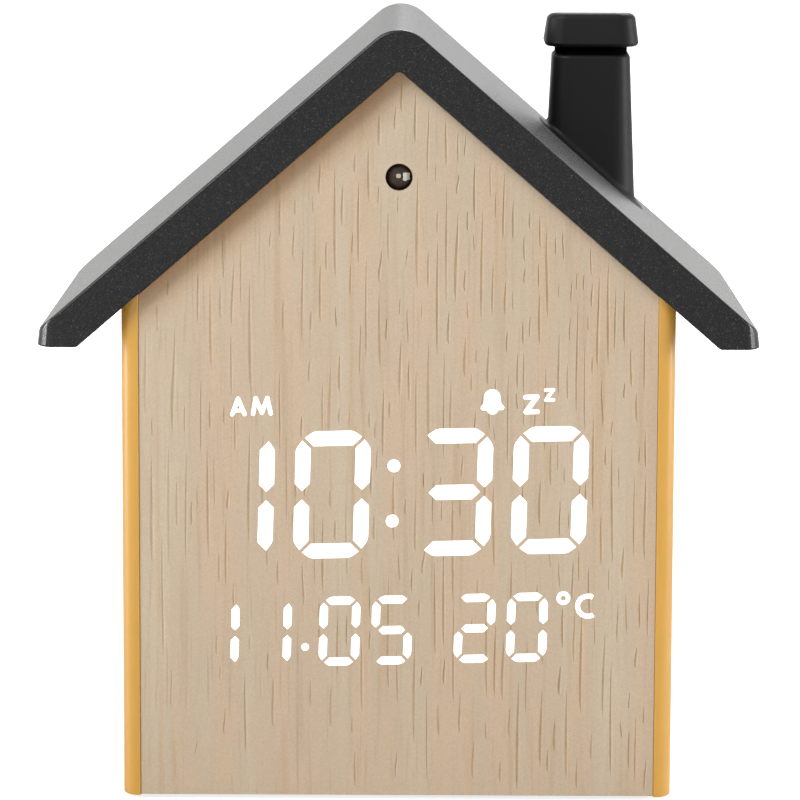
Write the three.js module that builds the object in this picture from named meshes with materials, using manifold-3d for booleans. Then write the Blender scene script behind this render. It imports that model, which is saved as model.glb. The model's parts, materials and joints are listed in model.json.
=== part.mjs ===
import * as THREE from 'three';
import { mergeVertices } from 'three/addons/utils/BufferGeometryUtils.js';
import Module from 'manifold-3d';

// A house-shaped digital alarm clock: wood front, yellow body, dark roof, chimney snooze button.
// Millimetres. Seen from the front +X is right and +Z is up, and +Y runs to the back.
// The origin lies under the middle of the clock, on the surface that it stands on.

// Gaps between pieces
const TOUCH = 0.05;
const FIT = 0.15;
const RUN = 0.25;

// Body shell
const BODY_WIDTH = 100.6;
const BODY_DEPTH = 61;
const BODY_PEAK = 133.75;
const PITCH_DEG = 40.9;
const SIDE_WALL = 3.2;
const FLOOR_WALL = 3;
const TOP_WALL = 2.4;
const EDGE_PROUD = 0.3;
const EDGE_RADIUS = 1.8;
const BASE_RADIUS = 1;

// Rubber feet
const FOOT_DIAMETER = 9;
const FOOT_HEIGHT = 2;
const FOOT_PROUD = 0.8;
const FOOT_INSET = 10.5;

// Roof
const ROOF_WIDTH = 131.35;
const ROOF_THICKNESS = 7;
const ROOF_OVERHANG = 3;
const EAVE_FLAT = 7.45;
const EAVE_DRAFT = 0.4;
const EAVE_TAPER = 2.75;
const EAVE_RIM = 1.2;
const EAVE_TOP_RADIUS = 1.8;
const EAVE_BASE_RADIUS = 0.8;
const RIDGE_RADIUS = 6.5;
const VALLEY_RADIUS = 1.4;
const ROOF_CORNER_RADIUS = 2;
const ROOF_SKIN = 2.4;
const ROOF_RIM = 2.5;
const LINER = 1.8;
const ROOF_SCREW_X = 24;
const ROOF_SCREW_Y = 17;
const ROOF_BOSS_DIAMETER = 6;

// Chimney and snooze cap: the height is that of the cap's top over the roof, at the chimney's middle
const CHIMNEY_X = 36.15;
const CHIMNEY_Y = 20.5;
const CHIMNEY_HEIGHT = 29;
const STACK_WIDTH = 14.75;
const STACK_DEPTH = 13;
const STACK_WALL = 1.9;
const STACK_DRAFT_DEG = 2.2;
const STACK_RADIUS = 2.5;
const STACK_PLATE = 2.2;
const STACK_CAP_GAP = 1.4;
const COLLAR_STEP = 0.6;
const COLLAR_HEIGHT = 3;
const CAP_WIDTH = 17.75;
const CAP_DEPTH = 16.3;
const CAP_HEIGHT = 6.6;
const CAP_DRAFT = 0.55;
const CAP_FALL_DEG = 4.5;
const CAP_TOP_WALL = 2.6;
const CAP_RADIUS = 2.8;
const CAP_TOP_ROUND = 1.5;
const CAP_BASE_ROUND = 0.8;
const CAP_POST_DIAMETER = 5;
const CAP_TRAVEL = 1.2;
const RETAINER_WIDTH = 1.6;
const RETAINER_THICKNESS = 0.8;
const PEDESTAL_RISE = 1.5;
const SNOOZE_BOARD = 1.2;
const SNOOZE_STEM_PROUD = 3;
const LEAD_DIAMETER = 1.8;
const LEAD_HOLE_DIAMETER = 4;
const LEAD_PLUG_X = 26;
const LEAD_PLUG_RISE = 27.7;
const LEAD_BOW = 5;
const LEAD_STEPS = 22;

// Wood front and display
const VENEER = 0.6;
const PANEL = 3.4;
const SENSOR_HOLE_DIAMETER = 4.9;
const SENSOR_DROP = 19.45;
const SENSOR_RECESS = 0.7;
const SENSOR_FLANGE = 0.8;
const SENSOR_PIN = 0.6;
const SENSOR_PIN_PITCH = 2.54;
const WINDOW_WIDTH = 79;
const WINDOW_HEIGHT = 57;
const WINDOW_BASE = 21.7;
const WINDOW_RADIUS = 1.5;
const DIFFUSER = 0.3;
const REFLECTOR = 7;
const BOARD = 1.6;
const DISPLAY_BOARD_MARGIN = 5;
const DISPLAY_BOARD_SIDE = 1;
const SENSOR_TONGUE = 14;
const STAKE_DIAMETER = 4;
const STAKE_PIN_DIAMETER = 2.4;
const STAKE_HEAD = 0.8;
const STAKE_INSET = 6;

// Lit pattern: places are along and across the row of large digits, from its middle
const DISPLAY_X = -0.9;
const DISPLAY_HEIGHT = 56.8;
const DISPLAY_TILT_DEG = 1.45;
const DIGIT_SLANT_DEG = 3;
const SEGMENT_GAP = 1.2;
const LARGE = {
  wide: 10.9,
  tall: 20.75,
  stroke: 3.05,
  row: 0,
  pitch: 17.4,
  pairs: [-28.53, 11.13],
};
const SMALL = {
  wide: 5.9,
  tall: 11.35,
  stroke: 1.7,
  row: -25.5,
  pitch: 9.55,
  pairs: [-32.4, -10.35, 14.35],
};
const COLON_RISE = 5.1;
const COLON_DIAMETER = 2.5;
const POINT_PLACE = [-16.7, -28.45];
const POINT_DIAMETER = 1.6;
const MORNING_PLACE = [-25.25, 16.35];
const MORNING_SIZE = [9, 4.6];
const BELL_PLACE = [18.35, 16.35];
const BELL_SIZE = [5.4, 5.4];
const SNOOZE_MARK_PLACE = [26.9, 16.55];
const SNOOZE_MARK_SIZE = [7.6, 5.6];
const UNIT_PLACE = [32.9, -21.2];
const UNIT_SIZE = [7, 6];

// Rear cover and main board
const COVER = 2.5;
const COVER_RECESS = 0.5;
const POST_SIZE = 8;
const POST_LENGTH = 14;
const UPPER_POST_DROP = 6.8;
const LOWER_POST_RISE = 5;
const MAIN_BOARD_WIDTH = 68;
const MAIN_BOARD_HEIGHT = 36;
const MAIN_BOARD_BASE = 58;
const MAIN_BOARD_STANDOFF = 6.2;
const BOARD_CORNER = 4;
const BOARD_POST_DIAMETER = 5.6;
const CHIP = [10, 1.8, 7.5];
const CHIP_X = -20;
const CHIP_DROP = 14;
const BUZZER_DIAMETER = 14;
const BUZZER_HEIGHT = 5.4;
const BUZZER_HOLE = 2.4;
const BUZZER_X = -14;
const UPPER_ROW_RISE = 26;
const SLOT_COUNT = 5;
const SLOT_LENGTH = 12;
const SLOT_WIDTH = 1.2;
const SLOT_PITCH = 2.6;
const THERMISTOR_DIAMETER = 3;
const THERMISTOR_HEIGHT = 1.6;
const THERMISTOR_X = 7;
const USB_WIDTH = 9;
const USB_HEIGHT = 3.2;
const USB_WALL = 0.35;
const USB_DEPTH = 6.4;
const USB_TONGUE = [6.7, 5, 0.7];
const USB_X = 22;
const RIBBON_WIDTH = 14;
const RIBBON_THICKNESS = 0.7;
const RIBBON_SAG = 14;
const RIBBON_RISE = 8;

// Rear buttons
const BUTTON_WIDTH = 9;
const BUTTON_HEIGHT = 5;
const BUTTON_RADIUS = 1.5;
const BUTTON_PROUD = 1.3;
const BUTTON_FLANGE = 1;
const BUTTON_LIP = 1;
const BUTTON_PITCH = 15;
const BUTTON_ROW_RISE = 11;
const SWITCH_SIZE = 6;
const SWITCH_HEIGHT = 3.4;
const STEM_DIAMETER = 3.2;
const STEM_PROUD = 1;
const STEM_SUNK = 1;
const BUTTON_TRAVEL = 0.6;

// Battery bay
const CELL_DIAMETER = 10.5;
const CELL_LENGTH = 44.5;
const CELL_NIPPLE = [3.6, 1];
const CELL_SPACE = 0.7;
const CELL_PITCH = CELL_DIAMETER + CELL_SPACE;
const CELL_COUNT = 3;
const CONTACT_SPACE = 1.6;
const CONTACT = 0.5;
const CONTACT_SIZE = 7;
const TRAY_WALL = 1.5;
const TRAY_LIP = 2;
const TRAY_FLANGE = 3;
const TRAY_FLANGE_THICKNESS = 1.6;
const BAY_BASE = 13.2;
const DOOR_GAP = 0.35;
const TAB_WIDTH = 8;
const TAB_PITCH = 28;
const TAB_REACH = 2.2;
const TAB_THICKNESS = 1.4;
const TAB_ROOT = 1.5;
const SCOOP = [14, 1.2, 4];

// Screws
const SCREW_HEAD_DIAMETER = 4.8;
const SCREW_HEAD = 1.3;
const SCREW_SHANK_DIAMETER = 2.2;
const SCREW_LENGTH = 8;

// Facets
const ROUND_SIDES = 16;
const SMALL_ROUND_SIDES = 8;
const ARC_STEPS = 4;
const SMALL_ARC_STEPS = 2;
const WELD = 1e-4;

// Places worked out from the sizes above
const pitch = THREE.MathUtils.degToRad(PITCH_DEG);
const base = FOOT_PROUD;
const front = -BODY_DEPTH / 2;
const rear = BODY_DEPTH / 2;
const innerHalf = BODY_WIDTH / 2 - SIDE_WALL;
const bodyRidge = base + BODY_PEAK;
const innerRidge = bodyRidge - TOP_WALL / Math.cos(pitch);
const underRidge = bodyRidge + FIT / Math.cos(pitch);
const roofRidge = underRidge + ROOF_THICKNESS / Math.cos(pitch);
const skinRidge = roofRidge - ROOF_SKIN / Math.cos(pitch);
const linerRidge = underRidge + LINER / Math.cos(pitch);
const roofHalfDepth = BODY_DEPTH / 2 + ROOF_OVERHANG;
const eaveInner = ROOF_WIDTH / 2 - EAVE_FLAT;
const hollowHalf = eaveInner - EAVE_RIM;
const panelFront = front + VENEER;
const panelBack = panelFront + PANEL;
const reflectorFront = panelFront + DIFFUSER;
const displayBoardFront = reflectorFront + REFLECTOR;
const displayBoardBack = displayBoardFront + BOARD;
const windowBase = base + WINDOW_BASE;
const windowMiddle = windowBase + WINDOW_HEIGHT / 2;
const sensorZ = bodyRidge - SENSOR_DROP;
const coverBack = rear - COVER_RECESS;
const coverFront = coverBack - COVER;
const mainBoardBack = coverFront - MAIN_BOARD_STANDOFF;
const mainBoardFront = mainBoardBack - BOARD;
const mainBoardBase = base + MAIN_BOARD_BASE;
const buttonRow = mainBoardBase + BUTTON_ROW_RISE;
const upperRow = mainBoardBase + UPPER_ROW_RISE;
const bayBase = base + BAY_BASE;
const trayHalf = CELL_LENGTH / 2 + CONTACT_SPACE;
const trayBase = bayBase + TRAY_LIP;
const trayTop = trayBase + CELL_PITCH * CELL_COUNT;
const bayHalf = trayHalf + TRAY_LIP;
const bayTop = trayTop + TRAY_LIP;
const cellY = coverFront - RUN - CELL_DIAMETER / 2;
const trayFloor = cellY - CELL_DIAMETER / 2 - RUN;
const capTop = slopeAt(roofRidge, CHIMNEY_X) + CHIMNEY_HEIGHT;
const capBottom = capTop - CAP_HEIGHT;
const stackTop = capBottom - STACK_CAP_GAP;
const plateUnder = stackTop - STACK_PLATE;
const cavityWidth = STACK_WIDTH - 2 * STACK_WALL;
const cavityDepth = STACK_DEPTH - 2 * STACK_WALL;
const pedestalTop = slopeAt(roofRidge, CHIMNEY_X - cavityWidth / 2) + PEDESTAL_RISE;
const snoozeBoardTop = pedestalTop + TOUCH + SNOOZE_BOARD;
const snoozeSwitchTop = snoozeBoardTop + SWITCH_HEIGHT;
const postBottom = snoozeSwitchTop + SNOOZE_STEM_PROUD + TOUCH;
const postHeights = [base + FLOOR_WALL + LOWER_POST_RISE, slopeAt(innerRidge, innerHalf) - UPPER_POST_DROP];
const posts = [-1, 1].flatMap((side) => postHeights.map((z) => ({
  x: side * (innerHalf - POST_SIZE / 2),
  z,
})));
const roofScrews = [-1, 1].flatMap((side) => [-ROOF_SCREW_Y, ROOF_SCREW_Y].map((y) => slopeFrame(side, y)));
const stakes = [-1, 1].flatMap((side) => [-1, 1].map((end) => ({
  x: side * (WINDOW_WIDTH / 2 - STAKE_INSET),
  z: windowMiddle + end * (WINDOW_HEIGHT / 2 + STAKE_DIAMETER / 2 + FIT),
})));
const buttonNames = ['set', 'down', 'up', 'alarm'];
const buttonPlaces = buttonNames.map((name, i) => ({
  name,
  x: ((buttonNames.length - 1) / 2 - i) * BUTTON_PITCH,
}));
const boardCorners = [-1, 1].flatMap((side) => [-1, 1].map((end) => ({
  x: side * (MAIN_BOARD_WIDTH / 2 - BOARD_CORNER),
  z: mainBoardBase + MAIN_BOARD_HEIGHT / 2 + end * (MAIN_BOARD_HEIGHT / 2 - BOARD_CORNER),
  screwed: end > 0,
})));

const wasm = await Module();
wasm.setup();
const clock = new THREE.Group();

const YELLOW = finish(0xdfab58, 0.45);
const CHARCOAL = finish(0x343434, 0.55);
const DARK = finish(0x232323, 0.4);
const WOOD = finish(0xc8b59c, 0.7);
const BLACK = finish(0x151515, 0.6);
const WHITE = finish(0xf0f0ec, 0.5);
const GREEN = finish(0x1f5a38, 0.5);
const STEEL = finish(0xb8babd, 0.3, 1);
const RUBBER = finish(0x222222, 0.9);
const SILVER = finish(0xc9c5ba, 0.35, 1);

function finish(color, roughness, metalness = 0) {
  return new THREE.MeshStandardMaterial({ color, roughness, metalness });
}

// Height of a slope that falls both ways from a ridge
function slopeAt(ridge, x) {
  return ridge - Math.abs(x) * Math.tan(pitch);
}

// Frame of a roof screw: its Z axis points out of the body's sloped wall
function slopeFrame(side, y) {
  const x = side * ROOF_SCREW_X;
  return { position: [x, y, slopeAt(bodyRidge, x)], turn: side * pitch };
}

function onSlope(geometry, { position, turn }) {
  return geometry.rotateY(turn).translate(...position);
}

// Geometry with one vertex at each corner and no empty triangles
function weld(geometry) {
  const bare = new THREE.BufferGeometry();
  bare.setAttribute('position', geometry.getAttribute('position'));
  bare.setIndex(geometry.index);
  const merged = mergeVertices(bare, WELD);
  const { array } = merged.index;
  const corners = [];
  for (let i = 0; i < array.length; i += 3) {
    const [a, b, c] = array.slice(i, i + 3);
    if (a !== b && b !== c && c !== a) corners.push(a, b, c);
  }
  merged.setIndex(corners);
  return merged;
}

function solid(shape) {
  if (shape instanceof wasm.Manifold) return shape;
  const welded = weld(shape);
  return new wasm.Manifold(new wasm.Mesh({
    numProp: 3,
    vertProperties: new Float32Array(welded.getAttribute('position').array),
    triVerts: new Uint32Array(welded.index.array),
  }));
}

function join(first, ...others) {
  return others.reduce((whole, other) => whole.add(solid(other)), solid(first));
}

function cut(whole, ...tools) {
  return tools.reduce((left, tool) => left.subtract(solid(tool)), solid(whole));
}

function common(first, second) {
  return solid(first).intersect(solid(second));
}

function geometryOf(shape) {
  if (!(shape instanceof wasm.Manifold)) return weld(shape);
  const { vertProperties, triVerts } = shape.getMesh();
  const geometry = new THREE.BufferGeometry();
  geometry.setAttribute('position', new THREE.BufferAttribute(vertProperties, 3));
  geometry.setIndex(new THREE.BufferAttribute(triVerts, 1));
  return geometry;
}

function piece(name, shape, material) {
  const geometry = geometryOf(shape);
  geometry.computeVertexNormals();
  const mesh = new THREE.Mesh(geometry, material);
  mesh.name = name;
  clock.add(mesh);
  return mesh;
}

// Outline from corners [x, y, radius], with an arc at each corner that has a radius
function outline(corners, steps = ARC_STEPS) {
  return corners.flatMap(([x, y, radius = 0], i) => {
    const corner = new THREE.Vector2(x, y);
    if (radius === 0) return [corner];
    const before = new THREE.Vector2(...corners.at(i - 1)).sub(corner).normalize();
    const after = new THREE.Vector2(...corners[(i + 1) % corners.length]).sub(corner).normalize();
    const half = before.angleTo(after) / 2;
    const middle = before.clone().add(after).normalize();
    const centre = corner.clone().addScaledVector(middle, radius / Math.sin(half));
    const start = corner.clone().addScaledVector(before, radius / Math.tan(half)).sub(centre);
    const sweep = Math.sign(before.cross(after)) * (2 * half - Math.PI);
    return Array.from({ length: steps + 1 }, (_, k) => (
      start.clone().rotateAround(new THREE.Vector2(), sweep * k / steps).add(centre)
    ));
  });
}

function rectangle(width, height, radius = 0, x = 0, y = 0) {
  const corners = [[-1, -1], [1, -1], [1, 1], [-1, 1]];
  return outline(corners.map(([i, j]) => [x + i * width / 2, y + j * height / 2, radius]), SMALL_ARC_STEPS);
}

function circle(diameter, x = 0, y = 0, sides = ROUND_SIDES) {
  return Array.from({ length: sides }, (_, i) => {
    const turn = 2 * Math.PI * i / sides;
    return new THREE.Vector2(x + diameter / 2 * Math.cos(turn), y + diameter / 2 * Math.sin(turn));
  });
}

// Prism along Z of an outline in X and Y
function prismZ(points, low, high, holes = []) {
  const shape = new THREE.Shape(points);
  shape.holes = holes.map((hole) => new THREE.Path(hole));
  return new THREE.ExtrudeGeometry(shape, { depth: high - low, bevelEnabled: false }).translate(0, 0, low);
}

// Prism along Y of an outline in X and Z
function prismY(points, low, high, holes = []) {
  return prismZ(points, -high, -low, holes).rotateX(Math.PI / 2);
}

function block(x, y, z) {
  const middle = [x, y, z].map(([low, high]) => (low + high) / 2);
  return new THREE.BoxGeometry(x[1] - x[0], y[1] - y[0], z[1] - z[0]).translate(...middle);
}

function span(middle, size) {
  return [middle - size / 2, middle + size / 2];
}

// Solid turned about Z from a profile of [radius, height]
function turned(profile, sides = ROUND_SIDES) {
  const points = profile.map(([radius, height]) => new THREE.Vector2(radius, height));
  return new THREE.LatheGeometry(points, sides).rotateX(Math.PI / 2);
}

function rod(diameter, low, high, sides = ROUND_SIDES) {
  return turned([[0, low], [diameter / 2, low], [diameter / 2, high], [0, high]], sides);
}

function towardsBack(geometry, x, z) {
  return geometry.rotateX(-Math.PI / 2).translate(x, 0, z);
}

function shankHole(low, high) {
  return rod(SCREW_SHANK_DIAMETER + 2 * FIT, low, high, SMALL_ROUND_SIDES);
}

function aroundChimney(width, depth, radius = 0) {
  return rectangle(width, depth, radius, CHIMNEY_X, CHIMNEY_Y);
}

// Closed body through rings of equal point count, each [points, height], from the lowest up
function loft(rings) {
  const count = rings[0][0].length;
  const positions = rings.flatMap(([points, height]) => points.flatMap(({ x, y }) => [x, y, height]));
  const triangles = [];
  for (let ring = 0; ring < rings.length - 1; ring++) {
    for (let i = 0; i < count; i++) {
      const a = ring * count + i;
      const b = ring * count + (i + 1) % count;
      triangles.push(a, b, b + count, a, b + count, a + count);
    }
  }
  const top = (rings.length - 1) * count;
  for (let i = 1; i < count - 1; i++) {
    triangles.push(0, i + 1, i, top, top + i, top + i + 1);
  }
  const geometry = new THREE.BufferGeometry();
  geometry.setAttribute('position', new THREE.Float32BufferAttribute(positions, 3));
  geometry.setIndex(triangles);
  return geometry;
}

// House outline with its walls at the given half width and its floor at the given height
function house(half, floor, ridge, radius = 0) {
  return outline([
    [-half, floor, radius],
    [half, floor, radius],
    [half, slopeAt(ridge, half)],
    [0, ridge],
    [-half, slopeAt(ridge, half)],
  ]);
}

// Band that follows the roof's slope, between two ridges, out to the given half width
function chevron(half, lowRidge, highRidge) {
  return [
    [-half, slopeAt(lowRidge, half)],
    [0, lowRidge],
    [half, slopeAt(lowRidge, half)],
    [half, slopeAt(highRidge, half)],
    [0, highRidge],
    [-half, slopeAt(highRidge, half)],
  ].map(([x, z]) => new THREE.Vector2(x, z));
}

// Screw along Z with the underside of its head at the origin and its shank downwards
function screw() {
  const head = SCREW_HEAD_DIAMETER / 2;
  const shank = SCREW_SHANK_DIAMETER / 2;
  const tip = -SCREW_LENGTH;
  return turned([
    [0, tip],
    [shank, tip + shank],
    [shank, 0],
    [head, 0],
    [head, SCREW_HEAD / 2],
    [head / 2, SCREW_HEAD],
    [0, SCREW_HEAD],
  ], SMALL_ROUND_SIDES);
}

function footPlaces() {
  const x = BODY_WIDTH / 2 - FOOT_INSET;
  const y = BODY_DEPTH / 2 - FOOT_INSET;
  return [['front_left', -x, -y], ['front_right', x, -y], ['rear_left', -x, y], ['rear_right', x, y]];
}

// Way for the snooze lead from the pedestal down through the roof and the body's sloped wall
function leadHole() {
  const low = slopeAt(innerRidge, CHIMNEY_X) - LEAD_HOLE_DIAMETER;
  return rod(LEAD_HOLE_DIAMETER, low, capTop).translate(CHIMNEY_X, CHIMNEY_Y, 0);
}

function bodyShell() {
  const sides = outline([
    [-BODY_WIDTH / 2, front - EDGE_PROUD, EDGE_RADIUS],
    [BODY_WIDTH / 2, front - EDGE_PROUD, EDGE_RADIUS],
    [BODY_WIDTH / 2, rear, EDGE_RADIUS],
    [-BODY_WIDTH / 2, rear, EDGE_RADIUS],
  ]);
  const outside = common(
    prismY(house(BODY_WIDTH / 2, base, bodyRidge, BASE_RADIUS), front - EDGE_PROUD, rear),
    prismZ(sides, 0, bodyRidge),
  );
  const inside = prismY(house(innerHalf, base + FLOOR_WALL, innerRidge), front - PANEL, rear + PANEL);
  const frontPocket = block(
    [-innerHalf, innerHalf],
    [front - PANEL, panelBack + FIT],
    [0, bodyRidge + PANEL],
  );
  const screwPosts = posts.map(({ x, z }) => block(
    x > 0 ? [x - POST_SIZE / 2, innerHalf + SIDE_WALL / 2] : [-innerHalf - SIDE_WALL / 2, x + POST_SIZE / 2],
    [coverFront - TOUCH - POST_LENGTH, coverFront - TOUCH],
    span(z, POST_SIZE),
  ));
  const postHoles = posts.map(({ x, z }) => (
    towardsBack(shankHole(coverFront - SCREW_LENGTH, coverFront), x, z)
  ));
  const roofHoles = roofScrews.map((frame) => onSlope(shankHole(-2 * TOP_WALL, TOP_WALL), frame));
  const footWells = footPlaces().map(([, x, y]) => (
    rod(FOOT_DIAMETER + 2 * FIT, 0, FOOT_HEIGHT + FIT).translate(x, y, 0)
  ));
  const shell = join(cut(outside, inside, frontPocket), ...screwPosts);
  piece('body_shell', cut(shell, ...postHoles, ...roofHoles, ...footWells, leadHole()), YELLOW);
}

function feet() {
  const radius = FOOT_DIAMETER / 2;
  const edge = FOOT_PROUD / 2;
  footPlaces().forEach(([place, x, y]) => {
    const pad = turned([[0, 0], [radius - edge, 0], [radius, edge], [radius, FOOT_HEIGHT], [0, FOOT_HEIGHT]]);
    piece(`foot_${place}`, pad.translate(x, y, 0), RUBBER);
  });
}

function roofShell() {
  const half = ROOF_WIDTH / 2;
  const eave = slopeAt(underRidge, eaveInner);
  const top = half - EAVE_DRAFT;
  const profile = outline([
    [-half, eave, EAVE_BASE_RADIUS],
    [-eaveInner, eave, EAVE_BASE_RADIUS],
    [0, underRidge, VALLEY_RADIUS],
    [eaveInner, eave, EAVE_BASE_RADIUS],
    [half, eave, EAVE_BASE_RADIUS],
    [top, slopeAt(roofRidge, top), EAVE_TOP_RADIUS],
    [0, roofRidge, RIDGE_RADIUS],
    [-top, slopeAt(roofRidge, top), EAVE_TOP_RADIUS],
  ]);
  const plan = outline([
    [-half, -roofHalfDepth, ROOF_CORNER_RADIUS],
    [half, -roofHalfDepth, ROOF_CORNER_RADIUS],
    [half - EAVE_TAPER, roofHalfDepth, ROOF_CORNER_RADIUS],
    [EAVE_TAPER - half, roofHalfDepth, ROOF_CORNER_RADIUS],
  ], SMALL_ARC_STEPS);
  const outside = common(prismY(profile, -roofHalfDepth, roofHalfDepth), prismZ(plan, 0, roofRidge));
  const pedestal = prismZ(
    aroundChimney(cavityWidth - 2 * FIT, cavityDepth - 2 * FIT),
    slopeAt(skinRidge, CHIMNEY_X + cavityWidth / 2),
    pedestalTop,
  );
  const hollowDepth = roofHalfDepth - ROOF_RIM;
  const hollowBand = chevron(hollowHalf, skinRidge - 2 * ROOF_THICKNESS, skinRidge);
  const hollow = prismY(hollowBand, -hollowDepth, hollowDepth);
  const bosses = roofScrews.map((frame) => (
    onSlope(rod(ROOF_BOSS_DIAMETER, FIT + LINER + TOUCH, FIT + ROOF_THICKNESS - ROOF_SKIN / 2), frame)
  ));
  const bossHoles = roofScrews.map((frame) => onSlope(shankHole(0, SCREW_LENGTH - TOP_WALL + FIT), frame));
  const shell = join(cut(join(outside, pedestal), hollow), ...bosses);
  piece('roof_shell', cut(shell, ...bossHoles, leadHole()), CHARCOAL);
}

function roofLiner() {
  const depth = roofHalfDepth - ROOF_RIM - FIT;
  const plate = prismY(chevron(hollowHalf - FIT, underRidge, linerRidge), -depth, depth);
  const holes = roofScrews.map((frame) => onSlope(shankHole(0, FIT + 2 * LINER), frame));
  piece('roof_liner', cut(plate, ...holes, leadHole()), CHARCOAL);
}

function roofScrewSet() {
  roofScrews.forEach((frame, i) => {
    const carrier = new THREE.Group();
    carrier.position.set(...frame.position);
    carrier.rotation.y = frame.turn;
    const fastener = piece(`roof_screw_${i + 1}`, screw(), STEEL);
    fastener.rotation.x = Math.PI;
    fastener.position.z = -TOP_WALL - TOUCH;
    carrier.add(fastener);
    clock.add(carrier);
  });
}

function chimneyStack() {
  const foot = slopeAt(roofRidge, CHIMNEY_X + STACK_WIDTH);
  const flare = 2 * (stackTop - foot) * Math.tan(THREE.MathUtils.degToRad(STACK_DRAFT_DEG));
  const ring = (grow) => aroundChimney(STACK_WIDTH + grow, STACK_DEPTH + grow, STACK_RADIUS);
  const collar = aroundChimney(
    STACK_WIDTH - 2 * COLLAR_STEP,
    STACK_DEPTH - 2 * COLLAR_STEP,
    STACK_RADIUS - COLLAR_STEP,
  );
  const outside = join(
    loft([[ring(flare), foot], [ring(0), stackTop]]),
    prismZ(collar, stackTop - STACK_PLATE, stackTop + COLLAR_HEIGHT),
  );
  const cavity = prismZ(aroundChimney(cavityWidth, cavityDepth), foot - 1, plateUnder);
  const guide = rod(CAP_POST_DIAMETER + 2 * RUN, plateUnder - 1, capTop).translate(CHIMNEY_X, CHIMNEY_Y, 0);
  const roofTop = prismY(chevron(ROOF_WIDTH / 2, 0, roofRidge + TOUCH), -roofHalfDepth, roofHalfDepth);
  piece('chimney_stack', cut(outside, cavity, guide, roofTop), DARK);
}

// Lowers the top of the cap towards the back and leaves its lower edge level
function tipBack(geometry) {
  const places = geometry.getAttribute('position');
  const fall = Math.tan(THREE.MathUtils.degToRad(CAP_FALL_DEG));
  for (let i = 0; i < places.count; i++) {
    const share = (places.getZ(i) - capBottom) / CAP_HEIGHT;
    const behind = places.getY(i) - CHIMNEY_Y + CAP_DEPTH / 2;
    places.setZ(i, places.getZ(i) - share * behind * fall);
  }
  return geometry;
}

function snoozeCap() {
  const ring = (inset) => aroundChimney(CAP_WIDTH - 2 * inset, CAP_DEPTH - 2 * inset, CAP_RADIUS);
  const rings = [[ring(CAP_BASE_ROUND), capBottom], [ring(0), capBottom + CAP_BASE_ROUND]];
  for (let i = 0; i <= ARC_STEPS; i++) {
    const turn = i / ARC_STEPS * Math.PI / 2;
    const inset = CAP_DRAFT + CAP_TOP_ROUND * (1 - Math.cos(turn));
    rings.push([ring(inset), capTop - CAP_TOP_ROUND * (1 - Math.sin(turn))]);
  }
  const recess = aroundChimney(
    STACK_WIDTH - 2 * COLLAR_STEP + 2 * RUN,
    STACK_DEPTH - 2 * COLLAR_STEP + 2 * RUN,
    STACK_RADIUS - COLLAR_STEP,
  );
  const hood = cut(tipBack(loft(rings)), prismZ(recess, capBottom - 1, capTop - CAP_TOP_WALL));
  const post = rod(CAP_POST_DIAMETER, postBottom, capTop - CAP_TOP_WALL / 2);
  piece('snooze_cap', join(hood, post.translate(CHIMNEY_X, CHIMNEY_Y, 0)), DARK);
}

function snoozeRetainer() {
  const inner = CAP_POST_DIAMETER / 2 + TOUCH;
  const outer = inner + RETAINER_WIDTH;
  const high = plateUnder - RUN;
  const low = high - RETAINER_THICKNESS;
  const ring = turned([[inner, low], [outer, low], [outer, high], [inner, high], [inner, low]]);
  piece('snooze_retainer', ring.translate(CHIMNEY_X, CHIMNEY_Y, 0), STEEL);
}

// Push switch standing on Z = 0, with a well for its stem
function switchBody(travel) {
  const well = rod(STEM_DIAMETER + 2 * RUN, SWITCH_HEIGHT - STEM_SUNK - travel - RUN, 2 * SWITCH_HEIGHT);
  return cut(prismZ(rectangle(SWITCH_SIZE, SWITCH_SIZE, 0), 0, SWITCH_HEIGHT), well);
}

function switchStem(proud) {
  return rod(STEM_DIAMETER, SWITCH_HEIGHT - STEM_SUNK, SWITCH_HEIGHT + proud);
}

function snoozeSwitch() {
  const board = aroundChimney(cavityWidth - 2 * FIT, cavityDepth - 2 * FIT);
  piece('snooze_board', prismZ(board, pedestalTop + TOUCH, snoozeBoardTop), GREEN);
  const body = geometryOf(switchBody(CAP_TRAVEL));
  piece('snooze_switch', body.translate(CHIMNEY_X, CHIMNEY_Y, snoozeBoardTop), BLACK);
  const stem = switchStem(SNOOZE_STEM_PROUD);
  piece('snooze_switch_stem', stem.translate(CHIMNEY_X, CHIMNEY_Y, snoozeBoardTop), WHITE);
}

// Two-core lead from the snooze board down through the roof to the front of the main board
function snoozeLead() {
  const wall = slopeAt(innerRidge, CHIMNEY_X);
  const plug = mainBoardBase + LEAD_PLUG_RISE;
  const points = [
    [CHIMNEY_X, CHIMNEY_Y, pedestalTop],
    [CHIMNEY_X, CHIMNEY_Y, (pedestalTop + wall) / 2],
    [CHIMNEY_X, CHIMNEY_Y, wall],
    [CHIMNEY_X, CHIMNEY_Y - LEAD_BOW / 2, wall - LEAD_BOW],
    [CHIMNEY_X - LEAD_BOW / 2, mainBoardFront - LEAD_BOW, plug + LEAD_BOW / 2],
    [LEAD_PLUG_X + LEAD_BOW / 2, mainBoardFront - LEAD_BOW, plug],
    [LEAD_PLUG_X, mainBoardFront - LEAD_BOW / 2, plug],
    [LEAD_PLUG_X, mainBoardFront - TOUCH, plug],
  ];
  const extrudePath = new THREE.CatmullRomCurve3(points.map((point) => new THREE.Vector3(...point)));
  const section = new THREE.Shape(circle(LEAD_DIAMETER, 0, 0, SMALL_ROUND_SIDES));
  piece('snooze_lead', new THREE.ExtrudeGeometry(section, { steps: LEAD_STEPS, extrudePath }), BLACK);
}

function frontOutline() {
  return house(innerHalf - FIT, base + FIT, bodyRidge - FIT / Math.cos(pitch));
}

function woodVeneer() {
  const hole = circle(SENSOR_HOLE_DIAMETER, 0, sensorZ);
  piece('wood_veneer', prismY(frontOutline(), front, panelFront, [hole]), WOOD);
}

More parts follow.
